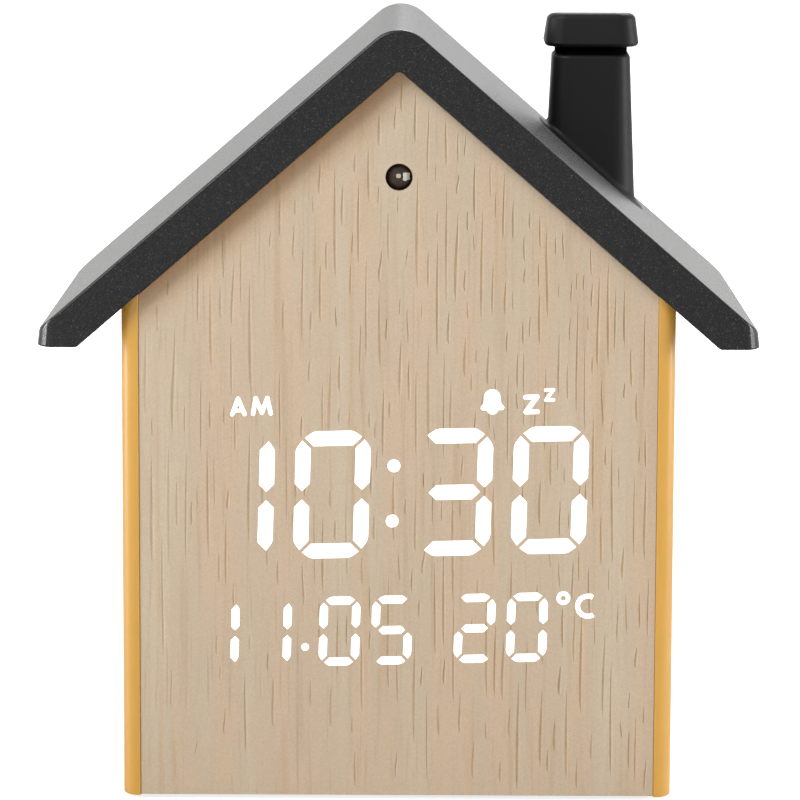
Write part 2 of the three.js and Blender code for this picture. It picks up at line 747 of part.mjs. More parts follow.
function frontPanel() {
  const hole = circle(SENSOR_HOLE_DIAMETER, 0, sensorZ);
  const opening = rectangle(WINDOW_WIDTH, WINDOW_HEIGHT, WINDOW_RADIUS, 0, windowMiddle);
  const plate = prismY(frontOutline(), panelFront, panelBack, [hole, opening]);
  const pin = STAKE_PIN_DIAMETER / 2;
  const foot = STAKE_DIAMETER / 2;
  const root = (panelFront + panelBack) / 2;
  const shoulder = displayBoardFront - TOUCH;
  const head = displayBoardBack + TOUCH;
  const pins = stakes.map(({ x, z }) => towardsBack(turned([
    [0, root],
    [foot, root],
    [foot, shoulder],
    [pin, shoulder],
    [pin, head],
    [foot, head],
    [pin, head + STAKE_HEAD],
    [0, head + STAKE_HEAD],
  ], SMALL_ROUND_SIDES), x, z));
  piece('front_panel', join(plate, ...pins), BLACK);
}

function lightSensor() {
  const radius = SENSOR_HOLE_DIAMETER / 2 - FIT;
  const tip = front + SENSOR_RECESS;
  const dome = Array.from({ length: ARC_STEPS + 1 }, (_, i) => {
    const turn = i / ARC_STEPS * Math.PI / 2;
    return [radius * Math.sin(turn), tip + radius * (1 - Math.cos(turn))];
  });
  const flangeBack = panelBack + TOUCH + SENSOR_FLANGE;
  const lens = turned([
    ...dome,
    [radius, panelBack + TOUCH],
    [radius + SENSOR_FLANGE, panelBack + TOUCH],
    [radius + SENSOR_FLANGE, flangeBack],
    [0, flangeBack],
  ]);
  const pins = [-1, 1].map((side) => block(
    span(side * SENSOR_PIN_PITCH / 2, SENSOR_PIN),
    [panelBack + SENSOR_FLANGE / 2, displayBoardFront - TOUCH],
    span(sensorZ, SENSOR_PIN),
  ));
  piece('light_sensor', join(towardsBack(lens, 0, sensorZ), ...pins), DARK);
}

// Point of the lit pattern, from its place along and across the tilted row of digits
function onDisplay([along, across]) {
  const point = new THREE.Vector2(along, across);
  point.rotateAround(new THREE.Vector2(), THREE.MathUtils.degToRad(DISPLAY_TILT_DEG));
  return point.add(new THREE.Vector2(DISPLAY_X, base + DISPLAY_HEIGHT));
}

// Six-sided bar between two points of a digit, leaning with the digit
function bar(digit, place, from, to) {
  const start = new THREE.Vector2(...from);
  const along = new THREE.Vector2(...to).sub(start);
  const length = along.length() - SEGMENT_GAP;
  const half = digit.stroke / 2;
  const middle = start.addScaledVector(along, 0.5);
  const ends = [[-length / 2, 0], [half - length / 2, -half], [length / 2 - half, -half],
    [length / 2, 0], [length / 2 - half, half], [half - length / 2, half]];
  const lean = Math.tan(THREE.MathUtils.degToRad(DIGIT_SLANT_DEG));
  return ends.map(([x, y]) => {
    const point = new THREE.Vector2(x, y).rotateAround(new THREE.Vector2(), along.angle()).add(middle);
    return onDisplay([place + point.x + point.y * lean, digit.row + point.y]);
  });
}

function digitCells(digit) {
  const x = digit.wide / 2;
  const y = digit.tall / 2;
  const strokes = [
    ...[-y, 0, y].map((level) => [[-x, level], [x, level]]),
    ...[-x, x].flatMap((edge) => [[[edge, -y], [edge, 0]], [[edge, 0], [edge, y]]]),
  ];
  const places = digit.pairs.flatMap((first) => [first, first + digit.pitch]);
  return places.flatMap((place) => strokes.map(([from, to]) => bar(digit, place, from, to)));
}

function displayCells() {
  const lean = COLON_RISE * Math.tan(THREE.MathUtils.degToRad(DIGIT_SLANT_DEG));
  const marks = [
    circle(COLON_DIAMETER, lean, COLON_RISE, SMALL_ROUND_SIDES),
    circle(COLON_DIAMETER, -lean, -COLON_RISE, SMALL_ROUND_SIDES),
    circle(POINT_DIAMETER, ...POINT_PLACE, SMALL_ROUND_SIDES),
    rectangle(...MORNING_SIZE, 0, ...MORNING_PLACE),
    rectangle(...BELL_SIZE, 0, ...BELL_PLACE),
    rectangle(...SNOOZE_MARK_SIZE, 0, ...SNOOZE_MARK_PLACE),
    rectangle(...UNIT_SIZE, 0, ...UNIT_PLACE),
  ];
  const placed = marks.map((points) => points.map(({ x, y }) => onDisplay([x, y])));
  return [...digitCells(LARGE), ...digitCells(SMALL), ...placed];
}

function display() {
  const face = rectangle(WINDOW_WIDTH - 2 * FIT, WINDOW_HEIGHT - 2 * FIT, WINDOW_RADIUS, 0, windowMiddle);
  piece('display_diffuser', prismY(face, panelFront + TOUCH, reflectorFront), WHITE);
  const cells = displayCells().map((points) => prismY(points, reflectorFront - BOARD, displayBoardFront));
  const reflector = cut(prismY(face, reflectorFront, displayBoardFront - TOUCH), ...cells);
  piece('display_reflector', reflector, WHITE);
  const boardHalf = WINDOW_WIDTH / 2 + DISPLAY_BOARD_SIDE;
  const boardTop = windowBase + WINDOW_HEIGHT + DISPLAY_BOARD_MARGIN;
  const tongueTop = sensorZ + SENSOR_TONGUE / 2;
  const board = [
    [-boardHalf, windowBase - DISPLAY_BOARD_MARGIN],
    [boardHalf, windowBase - DISPLAY_BOARD_MARGIN],
    [boardHalf, boardTop],
    [SENSOR_TONGUE / 2, boardTop],
    [SENSOR_TONGUE / 2, tongueTop],
    [-SENSOR_TONGUE / 2, tongueTop],
    [-SENSOR_TONGUE / 2, boardTop],
    [-boardHalf, boardTop],
  ].map(([x, z]) => new THREE.Vector2(x, z));
  const holes = stakes.map(({ x, z }) => circle(STAKE_PIN_DIAMETER + 2 * FIT, x, z, SMALL_ROUND_SIDES));
  const room = house(innerHalf - FIT, base + FLOOR_WALL + FIT, innerRidge - 2 * FIT);
  piece('display_board', common(
    prismY(board, displayBoardFront, displayBoardBack, holes),
    prismY(room, displayBoardFront - BOARD, displayBoardBack + BOARD),
  ), GREEN);
}

// Flat cable in an S from the display board to the main board
function displayRibbon() {
  const start = new THREE.Vector2(displayBoardBack + TOUCH, mainBoardBase + RIBBON_RISE + RIBBON_SAG);
  const end = new THREE.Vector2(mainBoardFront - TOUCH, mainBoardBase + RIBBON_RISE);
  const reach = (end.x - start.x) / 2;
  const route = new THREE.CubicBezierCurve(
    start,
    new THREE.Vector2(start.x + reach, start.y),
    new THREE.Vector2(end.x - reach, end.y),
    end,
  );
  const steps = 3 * ARC_STEPS;
  const edge = (side) => Array.from({ length: steps + 1 }, (_, i) => {
    const along = route.getTangent(i / steps);
    const across = new THREE.Vector2(-along.y, along.x);
    return route.getPoint(i / steps).addScaledVector(across, side * RIBBON_THICKNESS / 2);
  });
  const strip = prismZ([...edge(-1), ...edge(1).reverse()], -RIBBON_WIDTH / 2, RIBBON_WIDTH / 2);
  const axes = new THREE.Matrix4().makeBasis(
    new THREE.Vector3(0, 1, 0),
    new THREE.Vector3(0, 0, 1),
    new THREE.Vector3(1, 0, 0),
  );
  piece('display_ribbon', strip.applyMatrix4(axes), WHITE);
}

function mainBoard() {
  const middle = mainBoardBase + MAIN_BOARD_HEIGHT / 2;
  const holes = boardCorners.map(({ x, z }) => (
    circle(SCREW_SHANK_DIAMETER + 2 * FIT, x, z, SMALL_ROUND_SIDES)
  ));
  const face = rectangle(MAIN_BOARD_WIDTH, MAIN_BOARD_HEIGHT, 0, 0, middle);
  piece('main_board', prismY(face, mainBoardFront, mainBoardBack, holes), GREEN);
  boardCorners.filter(({ screwed }) => screwed).forEach(({ x, z }, i) => {
    const fastener = screw().rotateX(Math.PI / 2).translate(x, mainBoardFront - TOUCH, z);
    piece(`main_board_screw_${i + 1}`, fastener, STEEL);
  });
}

function boardParts() {
  const chipTop = mainBoardFront - TOUCH;
  const chip = block(
    span(CHIP_X, CHIP[0]),
    [chipTop - CHIP[1], chipTop],
    span(upperRow - CHIP_DROP, CHIP[2]),
  );
  piece('controller_chip', chip, BLACK);

  const low = mainBoardBack + TOUCH;
  const high = low + BUZZER_HEIGHT;
  const can = cut(
    rod(BUZZER_DIAMETER, low, high),
    rod(BUZZER_HOLE, high - BUZZER_HEIGHT / 2, high + 1, SMALL_ROUND_SIDES),
  );
  piece('buzzer', geometryOf(can).rotateX(-Math.PI / 2).translate(BUZZER_X, 0, upperRow), BLACK);

  const bead = rod(THERMISTOR_DIAMETER, low, low + THERMISTOR_HEIGHT, SMALL_ROUND_SIDES);
  piece('thermistor', towardsBack(bead, THERMISTOR_X, upperRow), DARK);
}

function usbSocket() {
  const low = mainBoardBack + TOUCH;
  const mouth = coverBack - FIT;
  const floor = mouth - USB_DEPTH;
  const shell = rectangle(USB_WIDTH, USB_HEIGHT, USB_HEIGHT / 2 - TOUCH, USB_X, upperRow);
  const insideHeight = USB_HEIGHT - 2 * USB_WALL;
  const inside = rectangle(USB_WIDTH - 2 * USB_WALL, insideHeight, insideHeight / 2 - TOUCH, USB_X, upperRow);
  const can = cut(prismY(shell, low, mouth), prismY(inside, floor, mouth + 1));
  const tongue = block(
    span(USB_X, USB_TONGUE[0]),
    [floor - TOUCH, floor + USB_TONGUE[1]],
    span(upperRow, USB_TONGUE[2]),
  );
  piece('usb_socket', join(can, tongue), STEEL);
}

function rearCover() {
  const half = innerHalf - FIT;
  const floor = base + FLOOR_WALL + FIT;
  const ridge = innerRidge - FIT / Math.cos(pitch);
  const bay = rectangle(2 * bayHalf, bayTop - bayBase, 0, 0, (bayTop + bayBase) / 2);
  const buttonHoles = buttonPlaces.map(({ x }) => (
    rectangle(BUTTON_WIDTH + 2 * RUN, BUTTON_HEIGHT + 2 * RUN, BUTTON_RADIUS + RUN, x, buttonRow)
  ));
  const usbHole = rectangle(USB_WIDTH + 2 * RUN, USB_HEIGHT + 2 * RUN, USB_HEIGHT / 2, USB_X, upperRow);
  const slots = Array.from({ length: SLOT_COUNT }, (_, i) => {
    const z = upperRow + (i - (SLOT_COUNT - 1) / 2) * SLOT_PITCH;
    return rectangle(SLOT_LENGTH, SLOT_WIDTH, SLOT_WIDTH / 3, BUZZER_X, z);
  });
  const screwHoles = posts.map(({ x, z }) => circle(SCREW_SHANK_DIAMETER + 2 * FIT, x, z, SMALL_ROUND_SIDES));
  const holes = [bay, usbHole, ...buttonHoles, ...slots, ...screwHoles];
  const plate = prismY(house(half, floor, ridge), coverFront, coverBack, holes);
  const sinks = posts.map(({ x, z }) => (
    towardsBack(rod(SCREW_HEAD_DIAMETER + 2 * RUN, coverBack - SCREW_HEAD - FIT, coverBack + 1), x, z)
  ));
  const scoop = block(
    span(0, SCOOP[0]),
    [coverBack - SCOOP[1], coverBack + 1],
    [bayTop - DOOR_GAP, bayTop + SCOOP[2]],
  );
  const standoffs = boardCorners.map(({ x, z, screwed }) => {
    const foot = BOARD_POST_DIAMETER / 2;
    const pin = SCREW_SHANK_DIAMETER / 2;
    const seat = mainBoardBack + TOUCH;
    const tip = screwed ? [[0, seat]] : [[0, mainBoardFront], [pin, mainBoardFront], [pin, seat]];
    const profile = [...tip, [foot, seat], [foot, coverFront + COVER / 2], [0, coverFront + COVER / 2]];
    return towardsBack(turned(profile, SMALL_ROUND_SIDES), x, z);
  });
  const pilots = boardCorners.filter(({ screwed }) => screwed).map(({ x, z }) => (
    towardsBack(shankHole(mainBoardFront, mainBoardFront + SCREW_LENGTH + FIT), x, z)
  ));
  piece('rear_cover', cut(join(plate, ...standoffs), ...sinks, scoop, ...pilots), YELLOW);
  posts.forEach(({ x, z }, i) => {
    const fastener = towardsBack(screw().translate(0, 0, coverBack - SCREW_HEAD - FIT + TOUCH), x, z);
    piece(`rear_cover_screw_${i + 1}`, fastener, STEEL);
  });
}

function rearButtons() {
  const flangeBack = coverFront - TOUCH;
  const flangeFront = flangeBack - BUTTON_FLANGE;
  const stemTop = mainBoardBack + TOUCH + SWITCH_HEIGHT + STEM_PROUD;
  buttonPlaces.forEach(({ name, x }) => {
    const cap = rectangle(BUTTON_WIDTH, BUTTON_HEIGHT, BUTTON_RADIUS, x, buttonRow);
    const flange = rectangle(BUTTON_WIDTH + 2 * BUTTON_LIP, BUTTON_HEIGHT + 2 * BUTTON_LIP, 0, x, buttonRow);
    const post = rod(STEM_DIAMETER, stemTop + TOUCH, flangeBack, SMALL_ROUND_SIDES);
    const button = join(
      prismY(cap, flangeFront, coverBack + BUTTON_PROUD),
      prismY(flange, flangeFront, flangeBack),
      towardsBack(post, x, buttonRow),
    );
    piece(`${name}_button`, button, DARK);
    const place = (geometry) => geometry.rotateX(-Math.PI / 2).translate(x, mainBoardBack + TOUCH, buttonRow);
    piece(`${name}_switch`, place(geometryOf(switchBody(BUTTON_TRAVEL))), BLACK);
    piece(`${name}_switch_stem`, place(switchStem(STEM_PROUD)), WHITE);
  });
}

function batteryTray() {
  const wallHalf = trayHalf + TRAY_WALL;
  const outside = block(
    [-wallHalf, wallHalf],
    [trayFloor - TRAY_WALL, coverFront - TOUCH],
    [trayBase - TRAY_WALL, trayTop + TRAY_WALL],
  );
  const flange = block(
    span(0, 2 * (bayHalf + TRAY_FLANGE)),
    [coverFront - TOUCH - TRAY_FLANGE_THICKNESS, coverFront - TOUCH],
    [bayBase - TRAY_FLANGE, bayTop + TRAY_FLANGE],
  );
  const inside = block([-trayHalf, trayHalf], [trayFloor, coverFront + 1], [trayBase, trayTop]);
  const notches = [-1, 1].map((side) => block(
    span(side * TAB_PITCH / 2, TAB_WIDTH + 4 * RUN),
    [coverFront - 2 * TAB_THICKNESS, coverFront + 1],
    [bayBase - TRAY_FLANGE - 1, trayBase + 1],
  ));
  piece('battery_tray', cut(join(outside, flange), inside, ...notches), BLACK);
}

function batteryCells() {
  const radius = CELL_DIAMETER / 2;
  const [nippleDiameter, nipple] = CELL_NIPPLE;
  const half = CELL_LENGTH / 2;
  for (let i = 0; i < CELL_COUNT; i++) {
    const cell = turned([
      [0, -half],
      [radius, -half],
      [radius, half - nipple],
      [nippleDiameter / 2, half - nipple],
      [nippleDiameter / 2, half],
      [0, half],
    ]);
    const facing = i % 2 === 0 ? 1 : -1;
    const z = trayBase + (i + 0.5) * CELL_PITCH;
    piece(`battery_cell_${i + 1}`, cell.rotateY(facing * Math.PI / 2).translate(0, cellY, z), SILVER);
  }
}

// Contact plates: a single one at each end of the series and a bridge between neighbours
function batteryContacts() {
  const rows = [
    ['battery_contact_first', -1, 0, 0],
    ['battery_bridge_right', 1, 0, 1],
    ['battery_bridge_left', -1, 1, 2],
    ['battery_contact_last', 1, 2, 2],
  ];
  rows.forEach(([name, side, first, last]) => {
    const wall = side * (trayHalf - TOUCH);
    const face = side * (trayHalf - TOUCH - CONTACT);
    const low = trayBase + (first + 0.5) * CELL_PITCH;
    const high = trayBase + (last + 0.5) * CELL_PITCH;
    const plate = block(
      [Math.min(wall, face), Math.max(wall, face)],
      span(cellY, CONTACT_SIZE),
      [low - CONTACT_SIZE / 2, high + CONTACT_SIZE / 2],
    );
    const tip = side * (CELL_LENGTH / 2 + FIT);
    const dimples = Array.from({ length: last - first + 1 }, (_, k) => block(
      [Math.min(tip, wall), Math.max(tip, wall)],
      span(cellY, CONTACT_SIZE / 3),
      span(low + k * CELL_PITCH, CONTACT_SIZE / 3),
    ));
    piece(name, join(plate, ...dimples), STEEL);
  });
}

// Door that tilts out on two tabs behind the lower edge of its opening
function batteryDoor() {
  const low = bayBase + DOOR_GAP;
  const high = bayTop - DOOR_GAP;
  const plateFront = coverFront + TOUCH;
  const tabBack = coverFront - FIT;
  const tabFront = tabBack - TAB_THICKNESS;
  const plate = prismY(
    rectangle(2 * (bayHalf - DOOR_GAP), high - low, 0, 0, (low + high) / 2),
    plateFront,
    coverBack,
  );
  const grip = block(
    span(0, SCOOP[0]),
    [coverBack - SCOOP[1], coverBack + 1],
    [high - SCOOP[2] / 2, high + 1],
  );
  const tabs = [-1, 1].flatMap((side) => {
    const x = span(side * TAB_PITCH / 2, TAB_WIDTH);
    return [
      block(x, [tabFront, plateFront + TOUCH], [low, low + TAB_ROOT]),
      block(x, [tabFront, tabBack], [low - TAB_REACH, low + TAB_ROOT]),
    ];
  });
  piece('battery_door', join(cut(plate, grip), ...tabs), YELLOW);
}

bodyShell();
feet();
roofShell();
roofLiner();
roofScrewSet();
chimneyStack();
snoozeCap();
snoozeRetainer();
snoozeSwitch();
snoozeLead();
woodVeneer();
frontPanel();
lightSensor();
display();
displayRibbon();
mainBoard();
boardParts();
usbSocket();
rearCover();
rearButtons();
batteryTray();
batteryCells();
batteryContacts();
batteryDoor();

export default clock;
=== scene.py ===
"""A house-shaped digital alarm clock: wood front, yellow body, dark roof, chimney snooze button."""
import json
import math
import random

import bmesh
import bpy
from mathutils import Matrix, Vector
from mathutils.geometry import delaunay_2d_cdt

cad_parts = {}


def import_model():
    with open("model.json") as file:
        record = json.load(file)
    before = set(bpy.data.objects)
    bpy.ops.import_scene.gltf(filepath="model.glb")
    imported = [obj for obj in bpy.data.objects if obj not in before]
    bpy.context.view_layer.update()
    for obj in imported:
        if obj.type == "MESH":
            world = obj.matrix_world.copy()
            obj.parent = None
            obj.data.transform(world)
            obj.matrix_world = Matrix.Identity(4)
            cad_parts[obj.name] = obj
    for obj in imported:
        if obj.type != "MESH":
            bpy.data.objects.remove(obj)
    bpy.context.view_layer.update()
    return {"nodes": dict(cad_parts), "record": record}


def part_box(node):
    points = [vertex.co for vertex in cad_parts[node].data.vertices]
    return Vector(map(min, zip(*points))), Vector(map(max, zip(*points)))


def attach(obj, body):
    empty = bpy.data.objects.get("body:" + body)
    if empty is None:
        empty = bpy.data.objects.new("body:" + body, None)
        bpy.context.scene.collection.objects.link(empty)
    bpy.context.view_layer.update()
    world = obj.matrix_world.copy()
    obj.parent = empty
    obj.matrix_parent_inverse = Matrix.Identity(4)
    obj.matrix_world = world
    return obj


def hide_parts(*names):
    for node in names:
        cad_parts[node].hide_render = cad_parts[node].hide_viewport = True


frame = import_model()

# Sizes are in millimetres where nothing else is said. From the front +X is right, +Z is up and
# +Y runs to the back.
MM = 0.001
FIT = 0.15
TOUCH = 0.05
OVERLAP = 0.02
FINE_STEPS = 10

# Roof
PITCH = math.radians(40.9)
ROOF_THICKNESS = 7.0
ROOF_TOP_EDGE = 0.5
ROOF_UNDER_EDGE = 0.3
ROOF_BACK_EDGE = 0.4
ROOF_CORNER = 3.7
ROOF_TAPER = 2.75
EAVE_FLAT = 7.45
EAVE_DRAFT = 0.4
EAVE_TOP_RADIUS = 1.8
EAVE_END_RADIUS = 0.3
EAVE_BASE_RADIUS = 1.2
RIDGE_RADIUS = 6.5
VALLEY_RADIUS = 1.4

# Chimney and its cap
STACK_WIDTH = 14.75
STACK_DEPTH = 13.0
STACK_RADIUS = 3.3
STACK_DRAFT = math.radians(2.2)
STACK_FILLET = 1.7
STACK_EDGE = 0.9
STACK_CAP_GAP = 1.4
COLLAR_STEP = 0.6
COLLAR_HEIGHT = 3.0
COLLAR_ROOT = 0.5
CAP_HEIGHT = 6.6
CAP_DRAFT = 0.55
CAP_FALL = math.tan(math.radians(4.5))
CAP_RADIUS = 3.6
CAP_TOP_ROUND = 1.5
CAP_BASE_ROUND = 0.8
CAP_TOP_WALL = 2.6
CAP_POST_RADIUS = 2.5

# Body walls
SIDE_WALL = 3.2
FLOOR_WALL = 3.0
TOP_WALL = 2.4
WALL_EDGE = 2.7
INNER_EDGE = 0.15
BASE_EDGE = 0.4
PANEL_THICKNESS = 3.4
FOOT_WELL = 1.35
FOOT_ROUND = 0.5
FOOT_PLACES = ("front_left", "front_right", "rear_left", "rear_right")

# Wood front
WOOD_EDGE = 0.06
WOOD_SEAM = 0.04
# Width of the painted shadow that darkens and browns the veneer along the left slope
SLOPE_SHADOW_REACH = 6.5
PORE_COUNT = 300
PORE_SEED = 11
PORE_LENGTH = (3.0, 24.0)
PORE_LENGTH_POWER = 1.8
PORE_WIDTH = (0.42, 0.9)
PORE_SHORT_WIDTH = 0.55
PORE_FULL_LENGTH = 20
PORE_DEPTH = (0.06, 0.17)
PORE_LEAN = 0.008
PORE_SWAY = 0.06
PORE_WAVE = 2.4
PORE_BLUNT = 0.6
PORE_TAPER = 0.4
PORE_BED = 0.05
PORE_LEAST = 0.02
PORE_RIGHT = 0.7
PORE_TOP = 0.25
PORE_FALL = 0.75
PORE_MARGIN = 1.0
PORE_CLEARANCE = 0.5
PORE_HOLE_GAP = 0.3
PORE_STEPS = 9
SENSOR_HOLE_RADIUS = 2.45
LENS_RISE = 0.9
LENS_TIP = 0.02
LENS_SHANK = 2.3
LENS_STEPS = 12
SENSOR_PINS = 3.0
# Pale patches on the lens face and the layers they are built from: the chip seen through the resin, and
# painted glints
CHIP_GLINT_PATCHES = [(1, (1.1, 0.0), 0.8, 1.5), (2, (1.6, 0.05), 0.7, 1.3), (2, (-0.1, 0.15), 0.85, 0.75)]
CHIP_GLINT_LAYERS = [(1.0, 0.05), (1.0, -0.01), (0.7, -0.02), (0.4, -0.02), (0.02, -0.02)]

# Lit pattern: places are along and across the row of large digits, from its middle
DISPLAY_MIDDLE = Vector((-0.88, 57.3))
DISPLAY_TILT = math.radians(1.45)
DIGIT_SLANT = math.tan(math.radians(3))
SEGMENT_ROUND = 0.75
SEGMENT_LEAN = 0.08
LARGE = {"wide": 10.9, "tall": 20.75, "stroke": 2.72, "corner": 0.5, "waist": 0.8, "row": 0.0}
SMALL = {"wide": 5.9, "tall": 11.35, "stroke": 1.48, "corner": 0.44, "waist": 0.55, "row": -25.36}
LARGE_DIGITS = [(-28.53, "1"), (-11.13, "0"), (11.13, "3"), (28.53, "0")]
SMALL_DIGITS = [(-32.4, "1"), (-22.85, "1"), (-10.35, "0"), (-0.8, "5"), (14.35, "2"), (23.9, "0")]
SEGMENTS_LIT = {"0": "abcdef", "1": "bc", "2": "abged", "3": "abgcd", "5": "afgcd"}
COLON_RISE = 5.1
COLON_RADIUS = 1.16
POINT_PLACE = (-16.7, -28.2)
POINT_RADIUS = 0.68
MORNING_PLACE = (-25.36, 16.62)
MORNING_STROKE = 0.37
MORNING_BAR_STROKE = 0.31
BELL_PLACE = (18.36, 16.47)
LARGE_Z = (25.45, 15.87, 1.0)
SMALL_Z = (28.76, 17.54, 0.68)
Z_STROKE = 0.42
DEGREE_PLACE = (30.64, -20.06)
DEGREE_RADII = (1.24, 0.5)
UNIT_PLACE = (35.1, -21.65)
UNIT_RADII = (2.3, 1.45)
UNIT_OPENING = math.radians(60)
MARK_PROUD = 0.03
MARK_SUNK = 0.1

# Back
COVER_WALL = 2.5
HOLE_EDGE = 0.25
SINK_WALL = 0.8
SINK_DEPTH = 0.6
KEYS = ("set", "down", "up", "alarm")
KEY_LIP = 1.0
KEY_FLANGE = 1.0
KEY_FLANGE_CORNER = 0.4
KEY_STEM_RADIUS = 1.6
KEY_ROUND = 0.6
KEY_CORNER = 1.5
HOLE_GAP = 0.25
KEY_SIGN_REACH = 1.0
KEY_SIGN_STROKE = 0.26
KEY_DIAL_RADII = (1.35, 1.0)
KEY_DIAL_HANDS = [(0, 0.7), (0, 0), (-0.5, 0)]
KEY_BELL_SCALE = 0.56
SLOT_COUNT = 5
SLOT_PITCH = 2.6
SLOT_LENGTH = 12.0
SLOT_WIDTH = 1.2
SCOOP_WIDTH = 14.0
SCOOP_DEPTH = 1.2
SCOOP_HEIGHT = 4.0
SCOOP_CORNER = 0.8
SCOOP_LAP = 1.0
DOOR_GAP = 0.35
DOOR_CORNER = 0.4
TAB_PLACE = 14.0
TAB_HALF = 4.0
TAB_REACH = 2.2
TAB_ROOT = 1.5
TAB_THICKNESS = 1.4
TAB_CORNER = 0.5
SCREW_COUNT = 4
SCREW_HEAD = 1.3
SCREW_ROUND = 0.45
SCREW_SHANK_RADIUS = 1.1
CROSS_SHARE = 0.58
CROSS_HALF = 0.32
CROSS_DEPTH = 0.8
CROSS_DRAFT = 0.3
USB_WALL = 0.35
USB_EDGE = 0.1
USB_DEPTH = 6.4
USB_TONGUE = (6.7, 5.0, 0.7)
USB_TONGUE_CORNER = 0.15
STANDOFF_RADIUS = 2.8
STANDOFF_INSET = 4.0
CELL_COUNT = 3
CELL_BAND = 0.72
# Profiles of a cell: steps in from its radius, and distances from the nearer end
CELL_BASE = [(1.2, 0.0), (0.9, 0.3), (0.9, 0.6)]
CELL_HEEL = [(0.4, 0.25), (0.0, 0.6)]
CELL_SHOULDER = [(0.0, 1.9), (0.5, 1.4)]
CELL_TIP = [(0.5, 1.5), (3.45, 1.3), (3.45, 0.2), (3.65, 0.0)]

# View and light: the floor and the lamps are in metres
LENS = 202.5
CAMERA_PLACE = (3.41, -835.92, 203.96)
CAMERA_YAW = math.radians(-0.22)
CAMERA_PITCH = math.radians(9.13)
CAMERA_ROLL = math.radians(0.21)
MIRRORED = ("Is Glossy Ray", "Is Transmission Ray")
WORLD_TINT = (1.0, 0.88, 0.76, 1)
WORLD_STRENGTH = 0.15
FLOOR_SIZE = 12.0
FLOOR_GLOW = 0.82
MIRRORED_GLOW = (0.1, 0.85)
MIRRORED_REACH = (0.4, 2.0)
# Place, target, width, watts, and if the lamp shows in gloss alone
LAMPS = {
    "key": ((-0.85, -1.0, 1.15), (0, 0, 0.07), 1.0, 23.5, False),
    "left": ((-1.2, -0.1, 0.2), (0, 0, 0.1), 0.4, 13.0, True),
    "right": ((1.2, -0.1, 0.2), (0, 0, 0.1), 0.38, 8.5, False),
    "back": ((0.2, 1.1, 1.3), (0, 0, 0.1), 0.8, 24.0, False),
}

# Meshes
SAME_POINT = 1e-5
WELD = 1e-7
SLIVER = 1e-8
SHARP_ANGLE = math.radians(35)
PORE_SHARP_ANGLE = math.radians(8)


def box(node):
    low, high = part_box(node)
    return low / MM, high / MM


def rise(ridge, x):
    """Height at x of a slope that falls from the ridge to both sides."""
    return ridge - abs(x) * math.tan(PITCH)


def fillet(radius, depth):
    """How far a rounded edge stands back at a depth below its face."""
    if depth >= radius:
        return 0.0
    return radius - math.sqrt(radius ** 2 - (radius - depth) ** 2)


def arc(radius, steps=6):
    """Depths and insets of a rounded edge, from its face down."""
    if radius == 0:
        return [(0.0, 0.0)]
    turns = [i / steps * math.pi / 2 for i in range(steps + 1)]
    return [(radius * (1 - math.cos(turn)), radius * (1 - math.sin(turn))) for turn in turns]


def levels(low, high, low_round=0.0, high_round=0.0):
    """Heights and insets of a body with rounded edges at one or both ends."""
    first = [(low + depth, inset) for depth, inset in arc(low_round)]
    last = [(high - depth, inset) for depth, inset in arc(high_round)]
    return first + last[::-1]


def outline(corners, steps=6):
    """Outline from corners (x, y, radius), with an arc at each corner that has a radius."""
    points = []
    for i, (x, y, radius) in enumerate(corners):
        corner = Vector((x, y))
        if radius <= 0:
            points.append(corner)
            continue
        before = (Vector(corners[i - 1][:2]) - corner).normalized()
        after = (Vector(corners[(i + 1) % len(corners)][:2]) - corner).normalized()
        half = before.angle(after) / 2
        centre = corner + (before + after).normalized() * radius / math.sin(half)
        start = corner + before * radius / math.tan(half) - centre
        sweep = math.copysign(math.pi - 2 * half, before.y * after.x - before.x * after.y)
        for k in range(steps + 1):
            points.append(centre + Matrix.Rotation(sweep * k / steps, 2) @ start)
    return points


def rectangle(low, high, radius=0.0, steps=6):
    corners = [(low[0], low[1]), (high[0], low[1]), (high[0], high[1]), (low[0], high[1])]
    return outline([(*corner, radius) for corner in corners], steps)


def around(middle, width, height, radius=0.0, steps=6):
    half = Vector((width / 2, height / 2))
    return rectangle(Vector(middle) - half, Vector(middle) + half, radius, steps)


def swept(middle, radius, start, end, steps):
    """Points round a middle from one turn to another."""
    turns = [start + (end - start) * i / steps for i in range(steps + 1)]
    return [Vector(middle).xy + radius * Vector((math.cos(turn), math.sin(turn))) for turn in turns]


def circle(middle, radius, steps=40):
    return swept(middle, radius, 0, 2 * math.pi, steps)[:-1]


def middle_xz(low, high):
    return Vector(((low.x + high.x) / 2, (low.z + high.z) / 2))


def turns_left(loop):
    return sum(a[0] * b[1] - a[1] * b[0] for a, b in zip(loop, (*loop[1:], loop[0]))) > 0


def region(solids, holes=()):
    """Points and triangles that fill the solid outlines, less the holes."""
    points = []
    loops = []
    for loop in (*solids, *holes):
        loops.append(list(range(len(points), len(points) + len(loop))))
        points.extend(loop if turns_left(loop) else loop[::-1])
    points, _, faces, _, _, sources = delaunay_2d_cdt(points, [], loops, 1, SAME_POINT)
    kept = [face for face, source in zip(faces, sources) if source and max(source) < len(solids)]
    return points, kept


def upright(point, depth):
    """Place of a point of an outline in X and Z."""
    return Vector((point[0], depth, point[1]))


def lying(point, height):
    """Place of a point of an outline in X and Y."""
    return Vector((point[0], point[1], height))


def lifted(place, points, height):
    """Points of an outline, all at one height."""
    return [place(point, height) for point in points]


